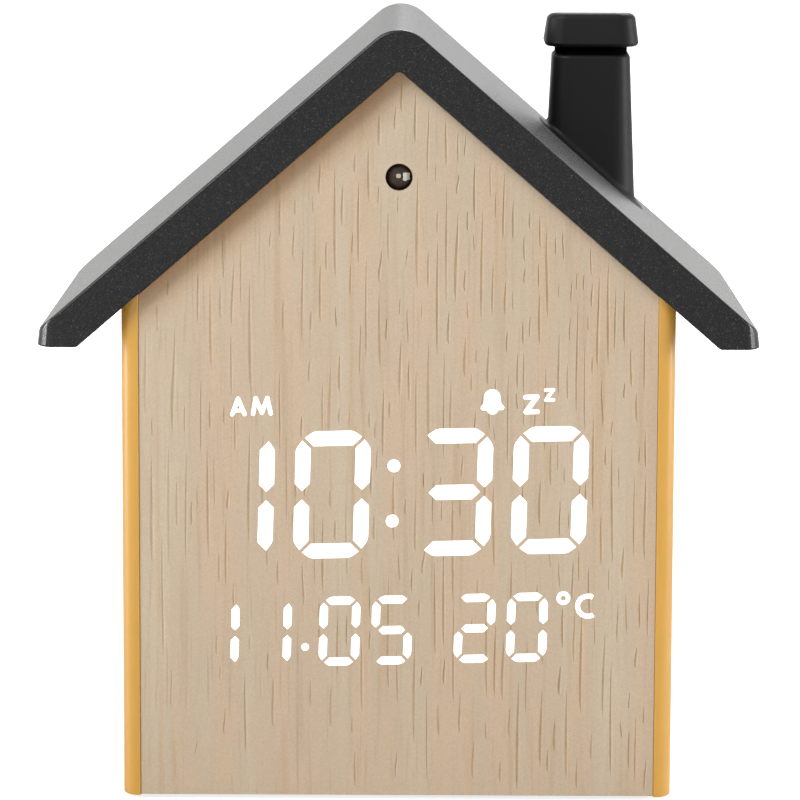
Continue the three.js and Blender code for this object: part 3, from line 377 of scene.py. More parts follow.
class Shape:
    """Closed bodies in millimetres for one mesh, with the material number of each face."""

    def __init__(self):
        self.points = []
        self.faces = []
        self.paints = []

    def add(self, points, faces, paint=0):
        first = len(self.points)
        self.points.extend(points)
        self.faces.extend([first + i for i in face] for face in faces)
        self.paints.extend([paint] * len(faces))

    def skin(self, rings, paint=0):
        """Walls through rings of equal point count."""
        count = len(rings[0])
        faces = []
        for level in range(len(rings) - 1):
            low = level * count
            for i in range(count):
                j = (i + 1) % count
                faces.append((low + i, low + j, low + count + j, low + count + i))
        self.add([point for ring in rings for point in ring], faces, paint)

    def loft(self, rings, paint=0):
        """Body through rings, with a flat face at both ends."""
        self.skin(rings, paint)
        for ring in (rings[0], rings[-1]):
            self.add(ring, [range(len(ring))], paint)

    def plate(self, place, outer, steps, holes=()):
        """Flat body. Outer and holes give an outline for an inset, and steps pair heights with insets."""
        for loop in (outer, *holes):
            self.skin([lifted(place, loop(inset), height) for height, inset in steps])
        for height, inset in (steps[0], steps[-1]):
            points, faces = region([outer(inset)], [hole(inset) for hole in holes])
            self.add(lifted(place, points, height), faces)

    def slab(self, place, solids, low, high, paint=0):
        """Straight-sided body on the union of outlines."""
        points, faces = region(solids)
        for height in (low, high):
            self.add(lifted(place, points, height), faces, paint)
        edges = {}
        for face in faces:
            for edge in zip(face, (*face[1:], face[0])):
                edges.setdefault(tuple(sorted(edge)), []).append(edge)
        for (i, j), users in edges.items():
            if len(users) == 1:
                corners = [(i, low), (j, low), (j, high), (i, high)]
                self.add([place(points[k], height) for k, height in corners], [range(4)], paint)

    def turned(self, profile, place, steps=40, paint=0):
        """Body turned about an axis, from pairs of radius and height."""
        rings = [lifted(place, circle((0, 0), radius, steps), height) for radius, height in profile]
        self.loft(rings, paint)


def new_object(name, data):
    made = bpy.data.objects.new(name, data)
    bpy.context.collection.objects.link(made)
    return made


def piece(name, shape, body, slot, nodes=(), extra=(), first=None, sharp=SHARP_ANGLE):
    """Mesh object with its slot's finish, or another first one, and extra finishes."""
    mesh = bpy.data.meshes.new(name)
    mesh.from_pydata([point * MM for point in shape.points], [], shape.faces)
    mesh.polygons.foreach_set("material_index", shape.paints)
    welded = bmesh.new()
    welded.from_mesh(mesh)
    bmesh.ops.remove_doubles(welded, verts=welded.verts, dist=WELD)
    bmesh.ops.dissolve_degenerate(welded, edges=welded.edges, dist=SLIVER)
    bmesh.ops.recalc_face_normals(welded, faces=welded.faces)
    for face in welded.faces:
        face.smooth = True
    welded.to_mesh(mesh)
    welded.free()
    mesh.set_sharp_from_angle(angle=sharp)
    for material in (first or FINISHES[slot], *extra):
        mesh.materials.append(material)
    made = new_object(name, mesh)
    shading = made.modifiers.new("Even shading", "WEIGHTED_NORMAL")
    shading.keep_sharp = True
    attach(made, body)
    if nodes:
        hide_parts(*nodes)


body_low, body_high = box("body_shell")
roof_low, roof_high = box("roof_shell")
wood_low, wood_high = box("wood_veneer")
cap_low, cap_high = box("snooze_cap")
cover_low, cover_high = box("rear_cover")
inner_half = body_high.x - SIDE_WALL
body_ridge = body_high.z
inner_ridge = body_ridge - TOP_WALL / math.cos(PITCH)
roof_under = roof_low.z + (roof_high.x - EAVE_FLAT) * math.tan(PITCH)
roof_ridge = roof_under + ROOF_THICKNESS / math.cos(PITCH)
cap_bottom = box("chimney_stack")[1].z - COLLAR_HEIGHT + STACK_CAP_GAP
chimney = Vector(((cap_low.x + cap_high.x) / 2, (cap_low.y + cap_high.y) / 2))


def color(red, green, blue):
    """Linear colour from values of 0 to 255 as shown on a screen."""
    shown = [value / 255 for value in (red, green, blue)]
    return [*(v / 12.92 if v <= 0.04045 else ((v + 0.055) / 1.055) ** 2.4 for v in shown), 1.0]


class Finish:
    """A material: one Principled shader and the texture nodes that feed it."""

    def __init__(self, name, **values):
        self.material = bpy.data.materials.new(name)
        self.material.use_nodes = True
        self.tree = self.material.node_tree
        self.shader = self.tree.nodes["Principled BSDF"]
        self.place = self.add("ShaderNodeTexCoord").outputs["Object"]
        for socket, value in values.items():
            self.set(socket, value)

    def add(self, kind, **values):
        """New node, with its inputs set to values or linked to other nodes' outputs."""
        node = self.tree.nodes.new(kind)
        for socket, value in values.items():
            self.feed(node.inputs[socket], value)
        return node

    def feed(self, socket, value):
        if isinstance(value, bpy.types.NodeSocket):
            self.tree.links.new(value, socket)
        else:
            socket.default_value = value

    def set(self, socket, value):
        self.feed(self.shader.inputs[socket.replace("_", " ")], value)

    def grid(self, size, stretch=(1, 1, 1), shift=0.0):
        """Coordinates in units of the given size, longer along a stretched axis."""
        scale = [1 / (size * MM * axis) for axis in stretch]
        node = self.add("ShaderNodeMapping", Vector=self.place, Scale=scale, Location=[shift] * 3)
        return node.outputs[0]

    def noise(self, size, stretch=(1, 1, 1), shift=0.0, detail=2.0):
        grid = self.grid(size, stretch, shift)
        return self.add("ShaderNodeTexNoise", Vector=grid, Scale=1.0, Detail=detail).outputs["Fac"]

    def ramp(self, value, *stops):
        node = self.add("ShaderNodeValToRGB", Fac=value)
        elements = node.color_ramp.elements
        while len(elements) < len(stops):
            elements.new(1.0)
        for element, (position, shade) in zip(elements, stops):
            element.position = position
            element.color = shade
        return node.outputs["Color"]

    def mottle(self, value, low, high):
        """Two shades that blend over the middle of a noise."""
        return self.ramp(value, (0.3, low), (0.7, high))

    def between(self, value, low, high, start=0.0, end=1.0):
        """A value that runs from start to end brought to the range from low to high."""
        ends = {"From Min": start, "From Max": end, "To Min": low, "To Max": high}
        return self.add("ShaderNodeMapRange", Value=value, **ends).outputs[0]

    def mix(self, factor, first, second, blend="MIX"):
        node = self.add("ShaderNodeMix")
        node.data_type = "RGBA"
        node.blend_type = blend
        for index, value in ((0, factor), (6, first), (7, second)):
            self.feed(node.inputs[index], value)
        return node.outputs[2]

    def bump(self, height, depth):
        node = self.add("ShaderNodeBump", Height=height, Distance=depth * MM)
        self.set("Normal", node.outputs["Normal"])


def wood(name, carved=False):
    """Pale veneer: upright bands, orange lines and soft streaks, and a painted brown shadow along the left
    slope.
    """
    finish = Finish(name, Roughness=0.6)
    plain = (1, 1, 1, 1)
    shade = finish.ramp(
        finish.noise(6.0, (1, 1, 16), detail=3.0),
        (0.32, color(203, 186, 163)),
        (0.47, color(199, 181, 157)),
        (0.58, color(203, 181, 155)),
        (0.70, color(196, 177, 152)),
    )

    def streaks(size, stretch, shift, start, tint):
        """Upright streaks where a stretched noise rises above start."""
        noise = finish.noise(size, (1, 1, stretch), shift, 1.0)
        return finish.ramp(noise, (start, plain), (0.76, tint))

    lines = streaks(1.5, 60, 11.0, 0.64, (0.98, 0.92, 0.84, 1))
    broad = streaks(1.5, 24, 2.0, 0.56, (0.92, 0.885, 0.84, 1))
    fine = streaks(0.5, 32, 4.0, 0.60, (0.84, 0.79, 0.72, 1))
    across = finish.add("ShaderNodeSeparateXYZ", Vector=finish.place).outputs["X"]
    sides = (wood_low.x * MM, wood_high.x * MM)
    leftward = finish.between(across, 1.0, 0.35, *sides)
    fading = finish.mix(leftward, plain, fine)
    dim, bright = (0.93, 0.93, 0.93, 1), (1.06, 1.06, 1.06, 1)
    specks = finish.mottle(finish.noise(0.3, shift=7.0), dim, bright)
    # Painted shadow: within a few millimetres of the left slope the veneer turns darker and browner, as
    # under the roof's overhang
    turned = finish.add("ShaderNodeMapping", Vector=finish.place, Rotation=(0, PITCH, 0)).outputs[0]
    upslope = finish.add("ShaderNodeSeparateXYZ", Vector=turned).outputs["Z"]
    edge = wood_high.z * math.cos(PITCH) * MM
    near = finish.between(upslope, 0.0, 1.0, edge - SLOPE_SHADOW_REACH * MM, edge)
    slope_shadow_paint = finish.ramp(near, (0.0, plain), (0.5, (0.98, 0.9, 0.81, 1)), (1.0, (0.9, 0.66, 0.46, 1)))
    layers = [lines, broad, fading, specks, slope_shadow_paint]
    if carved:
        pale, deep = (0.86, 0.75, 0.60, 1), (0.70, 0.61, 0.49, 1)
        cut = finish.ramp(finish.noise(4.0, shift=3.0), (0.35, pale), (0.65, deep))
        filled = finish.between(across, 0.6, 0.0, *sides)
        layers.append(finish.mix(filled, cut, plain))
    for layer in layers:
        shade = finish.mix(1.0, shade, layer, "MULTIPLY")
    finish.set("Base Color", shade)
    finish.bump(finish.noise(0.3, (1, 1, 25), 5.0), 0.012)
    return finish.material


def moulded(name, low, high, roughness, grain=0.01, ior=1.45):
    """Plain plastic with a faint cloudiness and a fine moulded grain."""
    finish = Finish(name, IOR=ior)
    clouds = finish.noise(9.0, detail=3.0)
    finish.set("Base Color", finish.mottle(clouds, color(*low), color(*high)))
    finish.set("Roughness", finish.between(finish.noise(1.5), roughness - 0.06, roughness + 0.06))
    finish.bump(finish.noise(0.25), grain)
    return finish.material


def charcoal():
    """Dark plastic with a fine grain and tiny bright flakes, paler at a glancing view."""
    finish = Finish("charcoal", IOR=1.37, Sheen_Weight=0.1, Sheen_Roughness=0.3)
    finish.set("Roughness", finish.between(finish.noise(0.3, detail=1.0), 0.22, 0.34, 0.3, 0.7))
    grain = finish.ramp(finish.noise(0.22, detail=1.0), (0.42, color(0, 0, 0)), (0.66, color(32, 32, 33)))
    cell = finish.add("ShaderNodeTexVoronoi", Vector=finish.grid(0.1), Scale=1.0).outputs["Color"]
    chance = finish.add("ShaderNodeSeparateColor", Color=cell).outputs[0]
    flakes = finish.ramp(chance, (0.97, color(0, 0, 0)), (1.0, color(100, 100, 105)))
    finish.set("Base Color", finish.mix(1.0, grain, flakes, "ADD"))
    finish.bump(finish.noise(0.2), 0.02)
    return finish.material


def lit():
    finish = Finish("lit_marks", Emission_Strength=1.0)
    glow = finish.mottle(finish.noise(4.0), (0.98, 0.98, 0.98, 1), (1, 1, 1, 1))
    finish.set("Base Color", glow)
    finish.set("Emission Color", glow)
    return finish.material


def lens():
    finish = Finish("lens", Roughness=0.3, IOR=1.3)
    finish.set("Base Color", finish.mottle(finish.noise(0.8), color(50, 38, 32), color(72, 58, 50)))
    return finish.material


def circuit():
    finish = Finish("circuit", Roughness=0.4)
    traces = finish.noise(2.2, (1, 1, 6), detail=0.0)
    bare, copper = color(22, 84, 50), color(34, 112, 66)
    finish.set("Base Color", finish.ramp(traces, (0.46, bare), (0.49, copper), (0.56, bare)))
    return finish.material


def metal(name, shade, roughness):
    finish = Finish(name, Metallic=1.0)
    streaks = finish.noise(0.4, (1, 1, 12))
    dim = [0.92 * value for value in shade]
    finish.set("Base Color", finish.mottle(streaks, color(*dim), color(*shade)))
    finish.set("Roughness", finish.between(streaks, roughness - 0.08, roughness + 0.08))
    return finish.material


def rubber(name):
    finish = Finish(name, Roughness=0.85)
    finish.set("Base Color", finish.mottle(finish.noise(1.0), color(26, 26, 26), color(34, 34, 34)))
    finish.bump(finish.noise(0.4), 0.02)
    return finish.material


FINISHES = {
    "wood": wood("wood"),
    "yellow_plastic": moulded("yellow", (209, 156, 54), (213, 160, 59), 0.36, 0.00333, 1.65),
    "charcoal_plastic": charcoal(),
    "dark_plastic": moulded("dark", (3, 3, 4), (6, 6, 7), 0.52, 0.00417, 1.31),
    "black_plastic": moulded("black", (28, 28, 28), (33, 33, 33), 0.55),
    "white_plastic": moulded("white", (232, 232, 226), (240, 240, 236), 0.5),
    "sensor_lens": lens(),
    "circuit_board": circuit(),
    "steel": metal("steel", (196, 197, 199), 0.3),
    "cell_case": moulded("cell_sleeve", (150, 152, 155), (160, 162, 165), 0.35),
    "lead_rubber": rubber("lead_rubber"),
    "foot_rubber": rubber("foot_rubber"),
}
FINISHES["lit_display"] = FINISHES["white_plastic"]
# Darker brown for the veneer's edges and the pores; on each pore's steep left wall it is also painted
# shade for the side turned from the key lamp
PORE_BROWN_AND_SHADE = wood("wood_pore_brown_and_shade", carved=True)
# Near-black, barely reflecting collar finish: painted shade for the gap between the chimney and its cap
SHADE = moulded("neck_painted_shade", (5, 5, 5), (7, 7, 7), 0.9, ior=1.05)
LIT = lit()
# Pale finishes for the lens patches: the chip under the resin, and painted glints
CHIP_GLINT_SILVER = moulded("chip_glint_silver", (200, 203, 210), (214, 216, 221), 0.4)
CHIP_GLINT_GOLD = moulded("chip_glint_gold", (180, 172, 142), (196, 190, 160), 0.4)
SLEEVE_END = moulded("cell_sleeve_end", (48, 50, 54), (54, 56, 60), 0.35)


def house(half, floor, ridge):
    eave = rise(ridge, half)
    corners = [(-half, floor), (half, floor), (half, eave), (0, ridge), (-half, eave)]
    return [Vector(corner) for corner in corners]


def roof():
    """Roof band with rounded edges and ends and a slight taper to the back."""
    def profile(insets):
        lower, upper, end = insets
        half = roof_high.x - end
        top = half - EAVE_DRAFT
        eave = roof_low.z + lower
        under = roof_under + lower / math.cos(PITCH)
        ridge = roof_ridge - upper / math.cos(PITCH)
        inner = (under - eave) / math.tan(PITCH)
        return outline([
            (-half, eave, EAVE_END_RADIUS),
            (-inner, eave, EAVE_BASE_RADIUS),
            (0, under, VALLEY_RADIUS),
            (inner, eave, EAVE_BASE_RADIUS),
            (half, eave, EAVE_END_RADIUS),
            (top, rise(ridge, top), EAVE_TOP_RADIUS),
            (0, ridge, RIDGE_RADIUS),
            (-top, rise(ridge, top), EAVE_TOP_RADIUS),
        ], FINE_STEPS)

    length = roof_high.y - roof_low.y
    steps = []
    for upper_edge, at_back in ((ROOF_TOP_EDGE, False), (ROOF_BACK_EDGE, True)):
        radii = (ROOF_UNDER_EDGE, upper_edge, ROOF_CORNER)
        for near in {round(depth, 4) for radius in radii for depth, _ in arc(radius)}:
            lower, upper, end = (fillet(radius, near) for radius in radii)
            far = length - near if at_back else near
            steps.append((roof_low.y + far, (lower, upper, end + ROOF_TAPER * far / length)))
    shape = Shape()
    shape.plate(upright, profile, sorted(steps))
    piece("roof", shape, "case", "charcoal_plastic", ["roof_shell", "roof_liner"])


def stack():
    """Chimney that flares onto the slope, with the collar that guides the cap."""
    top = cap_bottom - STACK_CAP_GAP
    slope = math.tan(PITCH)
    plain = around(chimney, STACK_WIDTH, STACK_DEPTH, STACK_RADIUS)
    # An outline one unit wider all round gives the way out at each point.
    wider = around(chimney, STACK_WIDTH + 2, STACK_DEPTH + 2, STACK_RADIUS + 1)
    normals = [far - near for near, far in zip(plain, wider)]
    flare = math.tan(STACK_DRAFT)

    def spread(points, reach):
        return [point + normal * reach for point, normal in zip(points, normals)]

    foot = []
    for point, normal in zip(plain, normals):
        drop = (roof_ridge - slope * point.x - top) / (normal.x * flare * slope - 1)
        foot.append(point + normal * flare * drop)
    rings = []
    for height, inset in arc(STACK_FILLET, FINE_STEPS):
        rings.append([lying(point, rise(roof_ridge, point.x) + height) for point in spread(foot, inset)])
    for depth, inset in reversed(arc(STACK_EDGE)):
        rings.append(lifted(lying, spread(plain, -inset), top - depth))
    shape = Shape()
    shape.loft(rings)
    # The collar in the gap under the cap takes the near-black painted shade
    shape.slab(lying, [spread(plain, -COLLAR_STEP)], top - COLLAR_ROOT, top + COLLAR_HEIGHT, 1)
    piece("chimney", shape, "case", "dark_plastic", ["chimney_stack"], [SHADE])


def cap():
    """Hollow cap whose top falls to the back, with a post for the switch."""
    width = cap_high.x - cap_low.x
    depth = cap_high.y - cap_low.y
    top = cap_bottom + CAP_HEIGHT

    def section(inset, height):
        share = (height - cap_bottom) / CAP_HEIGHT
        points = around(chimney, width - 2 * inset, depth - 2 * inset, CAP_RADIUS - inset / 2, steps=8)
        return [lying(point, height - share * CAP_FALL * (point.y - cap_low.y)) for point in points]

    inset = (width - STACK_WIDTH) / 2 + COLLAR_STEP - HOLE_GAP
    ceiling = top - CAP_TOP_WALL
    rings = [section(inset, ceiling), section(inset, cap_bottom)]
    rings += [section(step, cap_bottom + lift) for lift, step in arc(CAP_BASE_ROUND)]
    for drop, step in reversed(arc(CAP_TOP_ROUND, FINE_STEPS)):
        rings.append(section(CAP_DRAFT + step, top - drop))
    shape = Shape()
    shape.loft(rings)
    shape.slab(lying, [circle(chimney, CAP_POST_RADIUS)], cap_low.z, ceiling + CAP_TOP_WALL / 2)
    piece("cap", shape, "snooze", "dark_plastic", ["snooze_cap"])


def round_hole(middle, radius):
    return lambda inset: circle(middle, radius + inset)


def walls():
    """Body: two side walls with rounded edges, a floor with wells for the feet and two slopes."""
    shape = Shape()
    floor_front = wood_high.y + PANEL_THICKNESS + FIT
    for side in (-1, 1):
        near = side * inner_half
        far = side * body_high.x

        def plan(inset):
            return outline([
                (near, body_low.y, INNER_EDGE),
                (far - side * inset, body_low.y + inset, WALL_EDGE),
                (far - side * inset, body_high.y - inset, WALL_EDGE),
                (near, body_high.y, INNER_EDGE),
            ], FINE_STEPS)

        rings = [lifted(lying, plan(inset), body_low.z + height) for height, inset in arc(BASE_EDGE)]
        rings.append([lying(point, rise(body_ridge, point.x)) for point in plan(0)])
        shape.loft(rings)
        under = [(0, inner_ridge), (near, rise(inner_ridge, near))]
        slope = [*under, (near, rise(body_ridge, near)), (0, body_ridge)]
        shape.loft([lifted(upright, slope, depth) for depth in (floor_front, body_high.y)])
    wells = []
    for place in FOOT_PLACES:
        low, high = box("foot_" + place)
        wells.append(round_hole((low + high) / 2, (high.x - low.x) / 2 + FIT))
    sheet = rectangle((-inner_half, floor_front), (inner_half, body_high.y))
    ceiling = body_low.z + FOOT_WELL
    shape.plate(lying, lambda _: sheet, levels(body_low.z, ceiling), wells)
    shape.slab(lying, [sheet], ceiling, body_low.z + FLOOR_WALL)
    piece("walls", shape, "case", "yellow_plastic", ["body_shell"])


def pores(hole):
    """Upright pores, kept apart, denser towards the top and the right."""
    chance = random.Random(PORE_SEED)
    found = []
    while len(found) < PORE_COUNT:
        x = chance.uniform(wood_low.x + PORE_MARGIN, wood_high.x - PORE_MARGIN)
        z = chance.uniform(wood_low.z + 2 * PORE_MARGIN, wood_high.z - 2 * PORE_MARGIN)
        rightward = (x - wood_low.x) / (wood_high.x - wood_low.x)
        upward = z / wood_high.z
        right = PORE_RIGHT * rightward ** 1.5 * (1 - PORE_FALL + PORE_FALL * upward)
        if chance.random() > PORE_LEAST + right + PORE_TOP * upward ** 2:
            continue
        shortest, longest = PORE_LENGTH
        length = shortest + (longest - shortest) * chance.random() ** PORE_LENGTH_POWER
        width = chance.uniform(*PORE_WIDTH) * min(1, PORE_SHORT_WIDTH + length / PORE_FULL_LENGTH)
        lean = chance.gauss(0, PORE_LEAN)
        sway = chance.gauss(0, PORE_SWAY)
        depth = chance.uniform(*PORE_DEPTH)
        over_top = rise(wood_high.z, x) - z < length / 2 + PORE_MARGIN
        if over_top or z - wood_low.z < length / 2 + PORE_CLEARANCE:
            continue
        level = abs(z - hole.y) < length / 2 + SENSOR_HOLE_RADIUS + PORE_HOLE_GAP
        if level and abs(x - hole.x) < SENSOR_HOLE_RADIUS + PORE_CLEARANCE:
            continue
        clash = any(
            abs(x - other[0]) < (width + other[3]) / 2 + PORE_CLEARANCE
            and abs(z - other[1]) < (length + other[2]) / 2 + PORE_CLEARANCE
            for other in found
        )
        if not clash:
            found.append((x, z, length, width, lean, sway, depth))
    return found


def groove(x, z, length, width, lean, sway):
    """Left edge, bed and right edge of a pore, from its blunt lower to its fine upper end."""
    lines = ([], [], [])
    for i in range(PORE_STEPS + 1):
        along = i / PORE_STEPS * 2 - 1
        half = width / 2 * (1 - along ** 2) ** PORE_BLUNT * (1 - PORE_TAPER * along)
        middle = x + lean * along * length / 2 + sway * math.sin(along * PORE_WAVE)
        for line, offset in zip(lines, (-half, PORE_BED * half, half)):
            line.append(Vector((middle + offset, z + along * length / 2)))
    return lines


def wood_front():
    """Veneer with a broken front edge and pores cut into its face."""
    def outer(inset):
        half = inner_half - WOOD_SEAM - inset
        return house(half, wood_low.z + inset, wood_high.z - inset / math.cos(PITCH))

    hole = Vector((0.0, middle_xz(*box("light_sensor")).y))
    opening = circle(hole, SENSOR_HOLE_RADIUS, 56)
    grooves = [(groove(*shape), depth) for *shape, depth in pores(hole)]
    rims = [left + right[-2:0:-1] for (left, _, right), _ in grooves]
    shape = Shape()
    points, faces = region([outer(WOOD_EDGE)], [opening, *rims])
    shape.add(lifted(upright, points, wood_low.y), faces)
    points, faces = region([outer(0)], [opening])
    shape.add(lifted(upright, points, wood_high.y), faces)
    edge = [(wood_low.y, WOOD_EDGE), (wood_low.y + WOOD_EDGE, 0), (wood_high.y, 0)]
    shape.skin([lifted(upright, outer(inset), depth) for depth, inset in edge], 1)
    shape.skin([lifted(upright, opening, depth) for depth in (wood_low.y, wood_high.y)], 1)
    for lines, depth in grooves:
        # Each pore's steep left wall takes the darker brown and its right wall the plain veneer: the
        # pore's own darker fill, with painted shade on the wall turned away from the key lamp
        for paint, (near, far) in ((1, lines[:2]), (0, lines[1:])):
            strip = []
            for i, pair in enumerate(zip(near, far)):
                deep = wood_low.y + depth * (1 - (i / PORE_STEPS * 2 - 1) ** 4)
                depths = (wood_low.y, deep) if paint else (deep, wood_low.y)
                strip += [upright(point, depth) for point, depth in zip(pair, depths)]
            faces = [(i, i + 1, i + 3, i + 2) for i in range(0, 2 * PORE_STEPS, 2)]
            shape.add(strip, faces, paint)
    piece("wood_front", shape, "case", "wood", ["wood_veneer"], [PORE_BROWN_AND_SHADE], sharp=PORE_SHARP_ANGLE)


def on_display(along, across):
    """Point in X and Z from its place along and across the tilted row of digits."""
    return DISPLAY_MIDDLE + Matrix.Rotation(DISPLAY_TILT, 2) @ Vector((along, across))


def segment(digit, place, letter):
    """Six-sided bar of a digit, rounded where it meets the digit's outer corners."""
    x = digit["wide"] / 2
    y = digit["tall"] / 2
    stops = [(-x, y), (x, y), (x, 0), (x, -y), (-x, -y), (-x, 0)]
    runs = zip(stops + stops[5:], stops[1:] + [stops[0], stops[2]])
    start, end = dict(zip("abcdefg", runs))[letter]
    at_corner = start[1] != 0
    to_corner = end[1] != 0
    run = Vector(end) - Vector(start)
    first = digit["corner"] if at_corner else digit["waist"]
    last = run.length - (digit["corner"] if to_corner else digit["waist"])
    half = digit["stroke"] / 2
    soft = SEGMENT_ROUND * digit["stroke"]
    lean = SEGMENT_LEAN * digit["stroke"]
    bar = outline([
        (first - lean, lean, 0) if at_corner else (first, 0, 0),
        (first + half, -half, 0),
        (last - half, -half, 0),
        (last + lean, lean, 0) if to_corner else (last, 0, 0),
        (last - half, half, soft if to_corner else 0),
        (first + half, half, soft if at_corner else 0),
    ], 5)
    along = run.normalized()
    across = Vector((-along.y, along.x))
    placed = [Vector(start) + along * point.x + across * point.y for point in bar]
    return [on_display(place + p.x + p.y * DIGIT_SLANT, digit["row"] + p.y) for p in placed]


def stroke(start, end, radius):
    """Straight stroke with round ends."""
    along = Vector(end) - Vector(start)
    first = math.atan2(along.y, along.x) - math.pi / 2
    last = first + math.pi
    return swept(end, radius, first, last, 8) + swept(start, radius, last, last + math.pi, 8)


def strokes(radius, *points):
    return [stroke(start, end, radius) for start, end in zip(points, points[1:])]


def morning_mark():
    letter_a = [(-3.5, -1.42), (-2.37, 1.42), (-1.24, -1.42)]
    letter_m = [(0.3, -1.42), (0.83, 1.42), (1.89, -1.25), (2.95, 1.42), (3.5, -1.42)]
    letters = strokes(MORNING_STROKE, *letter_a) + strokes(MORNING_STROKE, *letter_m)
    return [*letters, stroke((-3.0, -0.75), (-1.74, -0.75), MORNING_BAR_STROKE)]


def bell_mark():
    right = [(1.48, 0.84), (1.5, 0.1), (1.65, -0.35), (1.92, -0.72)]
    skirt = [(-x, y) for x, y in right] + right[::-1]
    return [
        circle((0, 0.84), 1.48, 28),
        [Vector(point) for point in skirt],
        stroke((-1.68, -1.06), (1.68, -1.06), 0.45),
        circle((0, -1.25), 1.05, 24),
    ]


def sleep_mark(size):
    path = [(-1.04, 1.34), (1.04, 1.38), (-1.04, -1.36), (1.04, -1.34)]
    return strokes(Z_STROKE * size, *[(x * size, y * size) for x, y in path])


def part_ring(far, near, start, end, steps):
    """Part of a flat ring between two turns."""
    outside, inside = (swept((0, 0), radius, start, end, steps) for radius in (far, near))
    return outside + inside[::-1]


def unit_mark():
    """Open ring of a capital C with square ends."""
    return [part_ring(*UNIT_RADII, UNIT_OPENING, 2 * math.pi - UNIT_OPENING, 24)]


def ring(far, near):
    """Ring in two halves."""
    return [part_ring(far, near, start, start + math.pi, 14) for start in (0, math.pi)]


def lit_marks():
    """Everything that shines through the veneer."""
    shape = Shape()
    low = wood_low.y - MARK_PROUD
    high = wood_low.y + MARK_SUNK
    for digit, row in ((LARGE, LARGE_DIGITS), (SMALL, SMALL_DIGITS)):
        for place, figure in row:
            for letter in SEGMENTS_LIT[figure]:
                shape.slab(upright, [segment(digit, place, letter)], low, high)
    marks = [(POINT_PLACE, [circle((0, 0), POINT_RADIUS)])]
    for across in (COLON_RISE, -COLON_RISE):
        marks.append(((across * DIGIT_SLANT, across), [circle((0, 0), COLON_RADIUS)]))
    marks += [(MORNING_PLACE, morning_mark()), (BELL_PLACE, bell_mark())]
    marks += [(z[:2], sleep_mark(z[2])) for z in (LARGE_Z, SMALL_Z)]
    marks += [(DEGREE_PLACE, ring(*DEGREE_RADII)), (UNIT_PLACE, unit_mark())]
    for place, outlines in marks:
        placed = [[on_display(place[0] + p[0], place[1] + p[1]) for p in loop] for loop in outlines]
        shape.slab(upright, placed, low, high)
    piece("lit_marks", shape, "case", "lit_display", first=LIT)


def sensor():
    """Domed lens with a collar at its foot and pale patches on its face: the chip that shows through it,
    and painted glints.
    """
    low, high = box("light_sensor")
    axis = Vector((0, (low.z + high.z) / 2))
    radius = SENSOR_HOLE_RADIUS - FIT
    collar = (high.x - low.x) / 2
    foot = low.y + LENS_RISE + LENS_SHANK

    def dome(far):
        return low.y + LENS_RISE * (1 - math.sqrt(1 - (far / radius) ** 2))

    def place(point, depth):
        return upright(point + axis, depth)

    turns = [i / LENS_STEPS * math.pi / 2 for i in range(LENS_STEPS + 1)]
    fars = [max(radius * math.sin(turn), LENS_TIP) for turn in turns]
    profile = [(far, dome(far)) for far in fars]
    shape = Shape()
    shape.turned([*profile, (radius, foot), (collar, foot), (collar, high.y - SENSOR_PINS)], place, 48)
    # Patches just proud of the lens face: painted glints, and the chip that shows through
    for paint, middle, width, height in CHIP_GLINT_PATCHES:
        rings = []
        for share, sunk in CHIP_GLINT_LAYERS:
            loop = around(middle, width * share, height * share, width * share / 3)
            rings.append([place(point, dome(point.length) + sunk) for point in loop])
        shape.loft(rings, paint)
    piece("sensor", shape, "case", "sensor_lens", ["light_sensor"], [CHIP_GLINT_SILVER, CHIP_GLINT_GOLD])


def feet():
    for place in FOOT_PLACES:
        low, high = box("foot_" + place)
        middle = (low + high) / 2
        radius = (high.x - low.x) / 2
        shape = Shape()
        shape.plate(lying, lambda inset: circle(middle, radius - inset), levels(low.z, high.z, FOOT_ROUND))
        piece("foot." + place, shape, "case", "foot_rubber", ["foot_" + place])


def notched(low, high, tip, half, corner):
    """Rectangle with a finger notch, or room for a finger, at the middle of its top edge."""
    return outline([
        (low.x, low.y, corner),
        (high.x, low.y, corner),
        (high.x, high.y, corner),
        (half, high.y, corner),
        (half, tip, SCOOP_CORNER),
        (-half, tip, SCOOP_CORNER),
        (-half, high.y, corner),
        (low.x, high.y, corner),
    ])


def wide_hole(low, high, gap, radius):
    """Hole round a rectangle, with a gap, that a rounded edge widens."""
    def hole(inset):
        spread = Vector((gap + inset, gap + inset))
        return rectangle(low - spread, high + spread, radius + inset)

    return hole


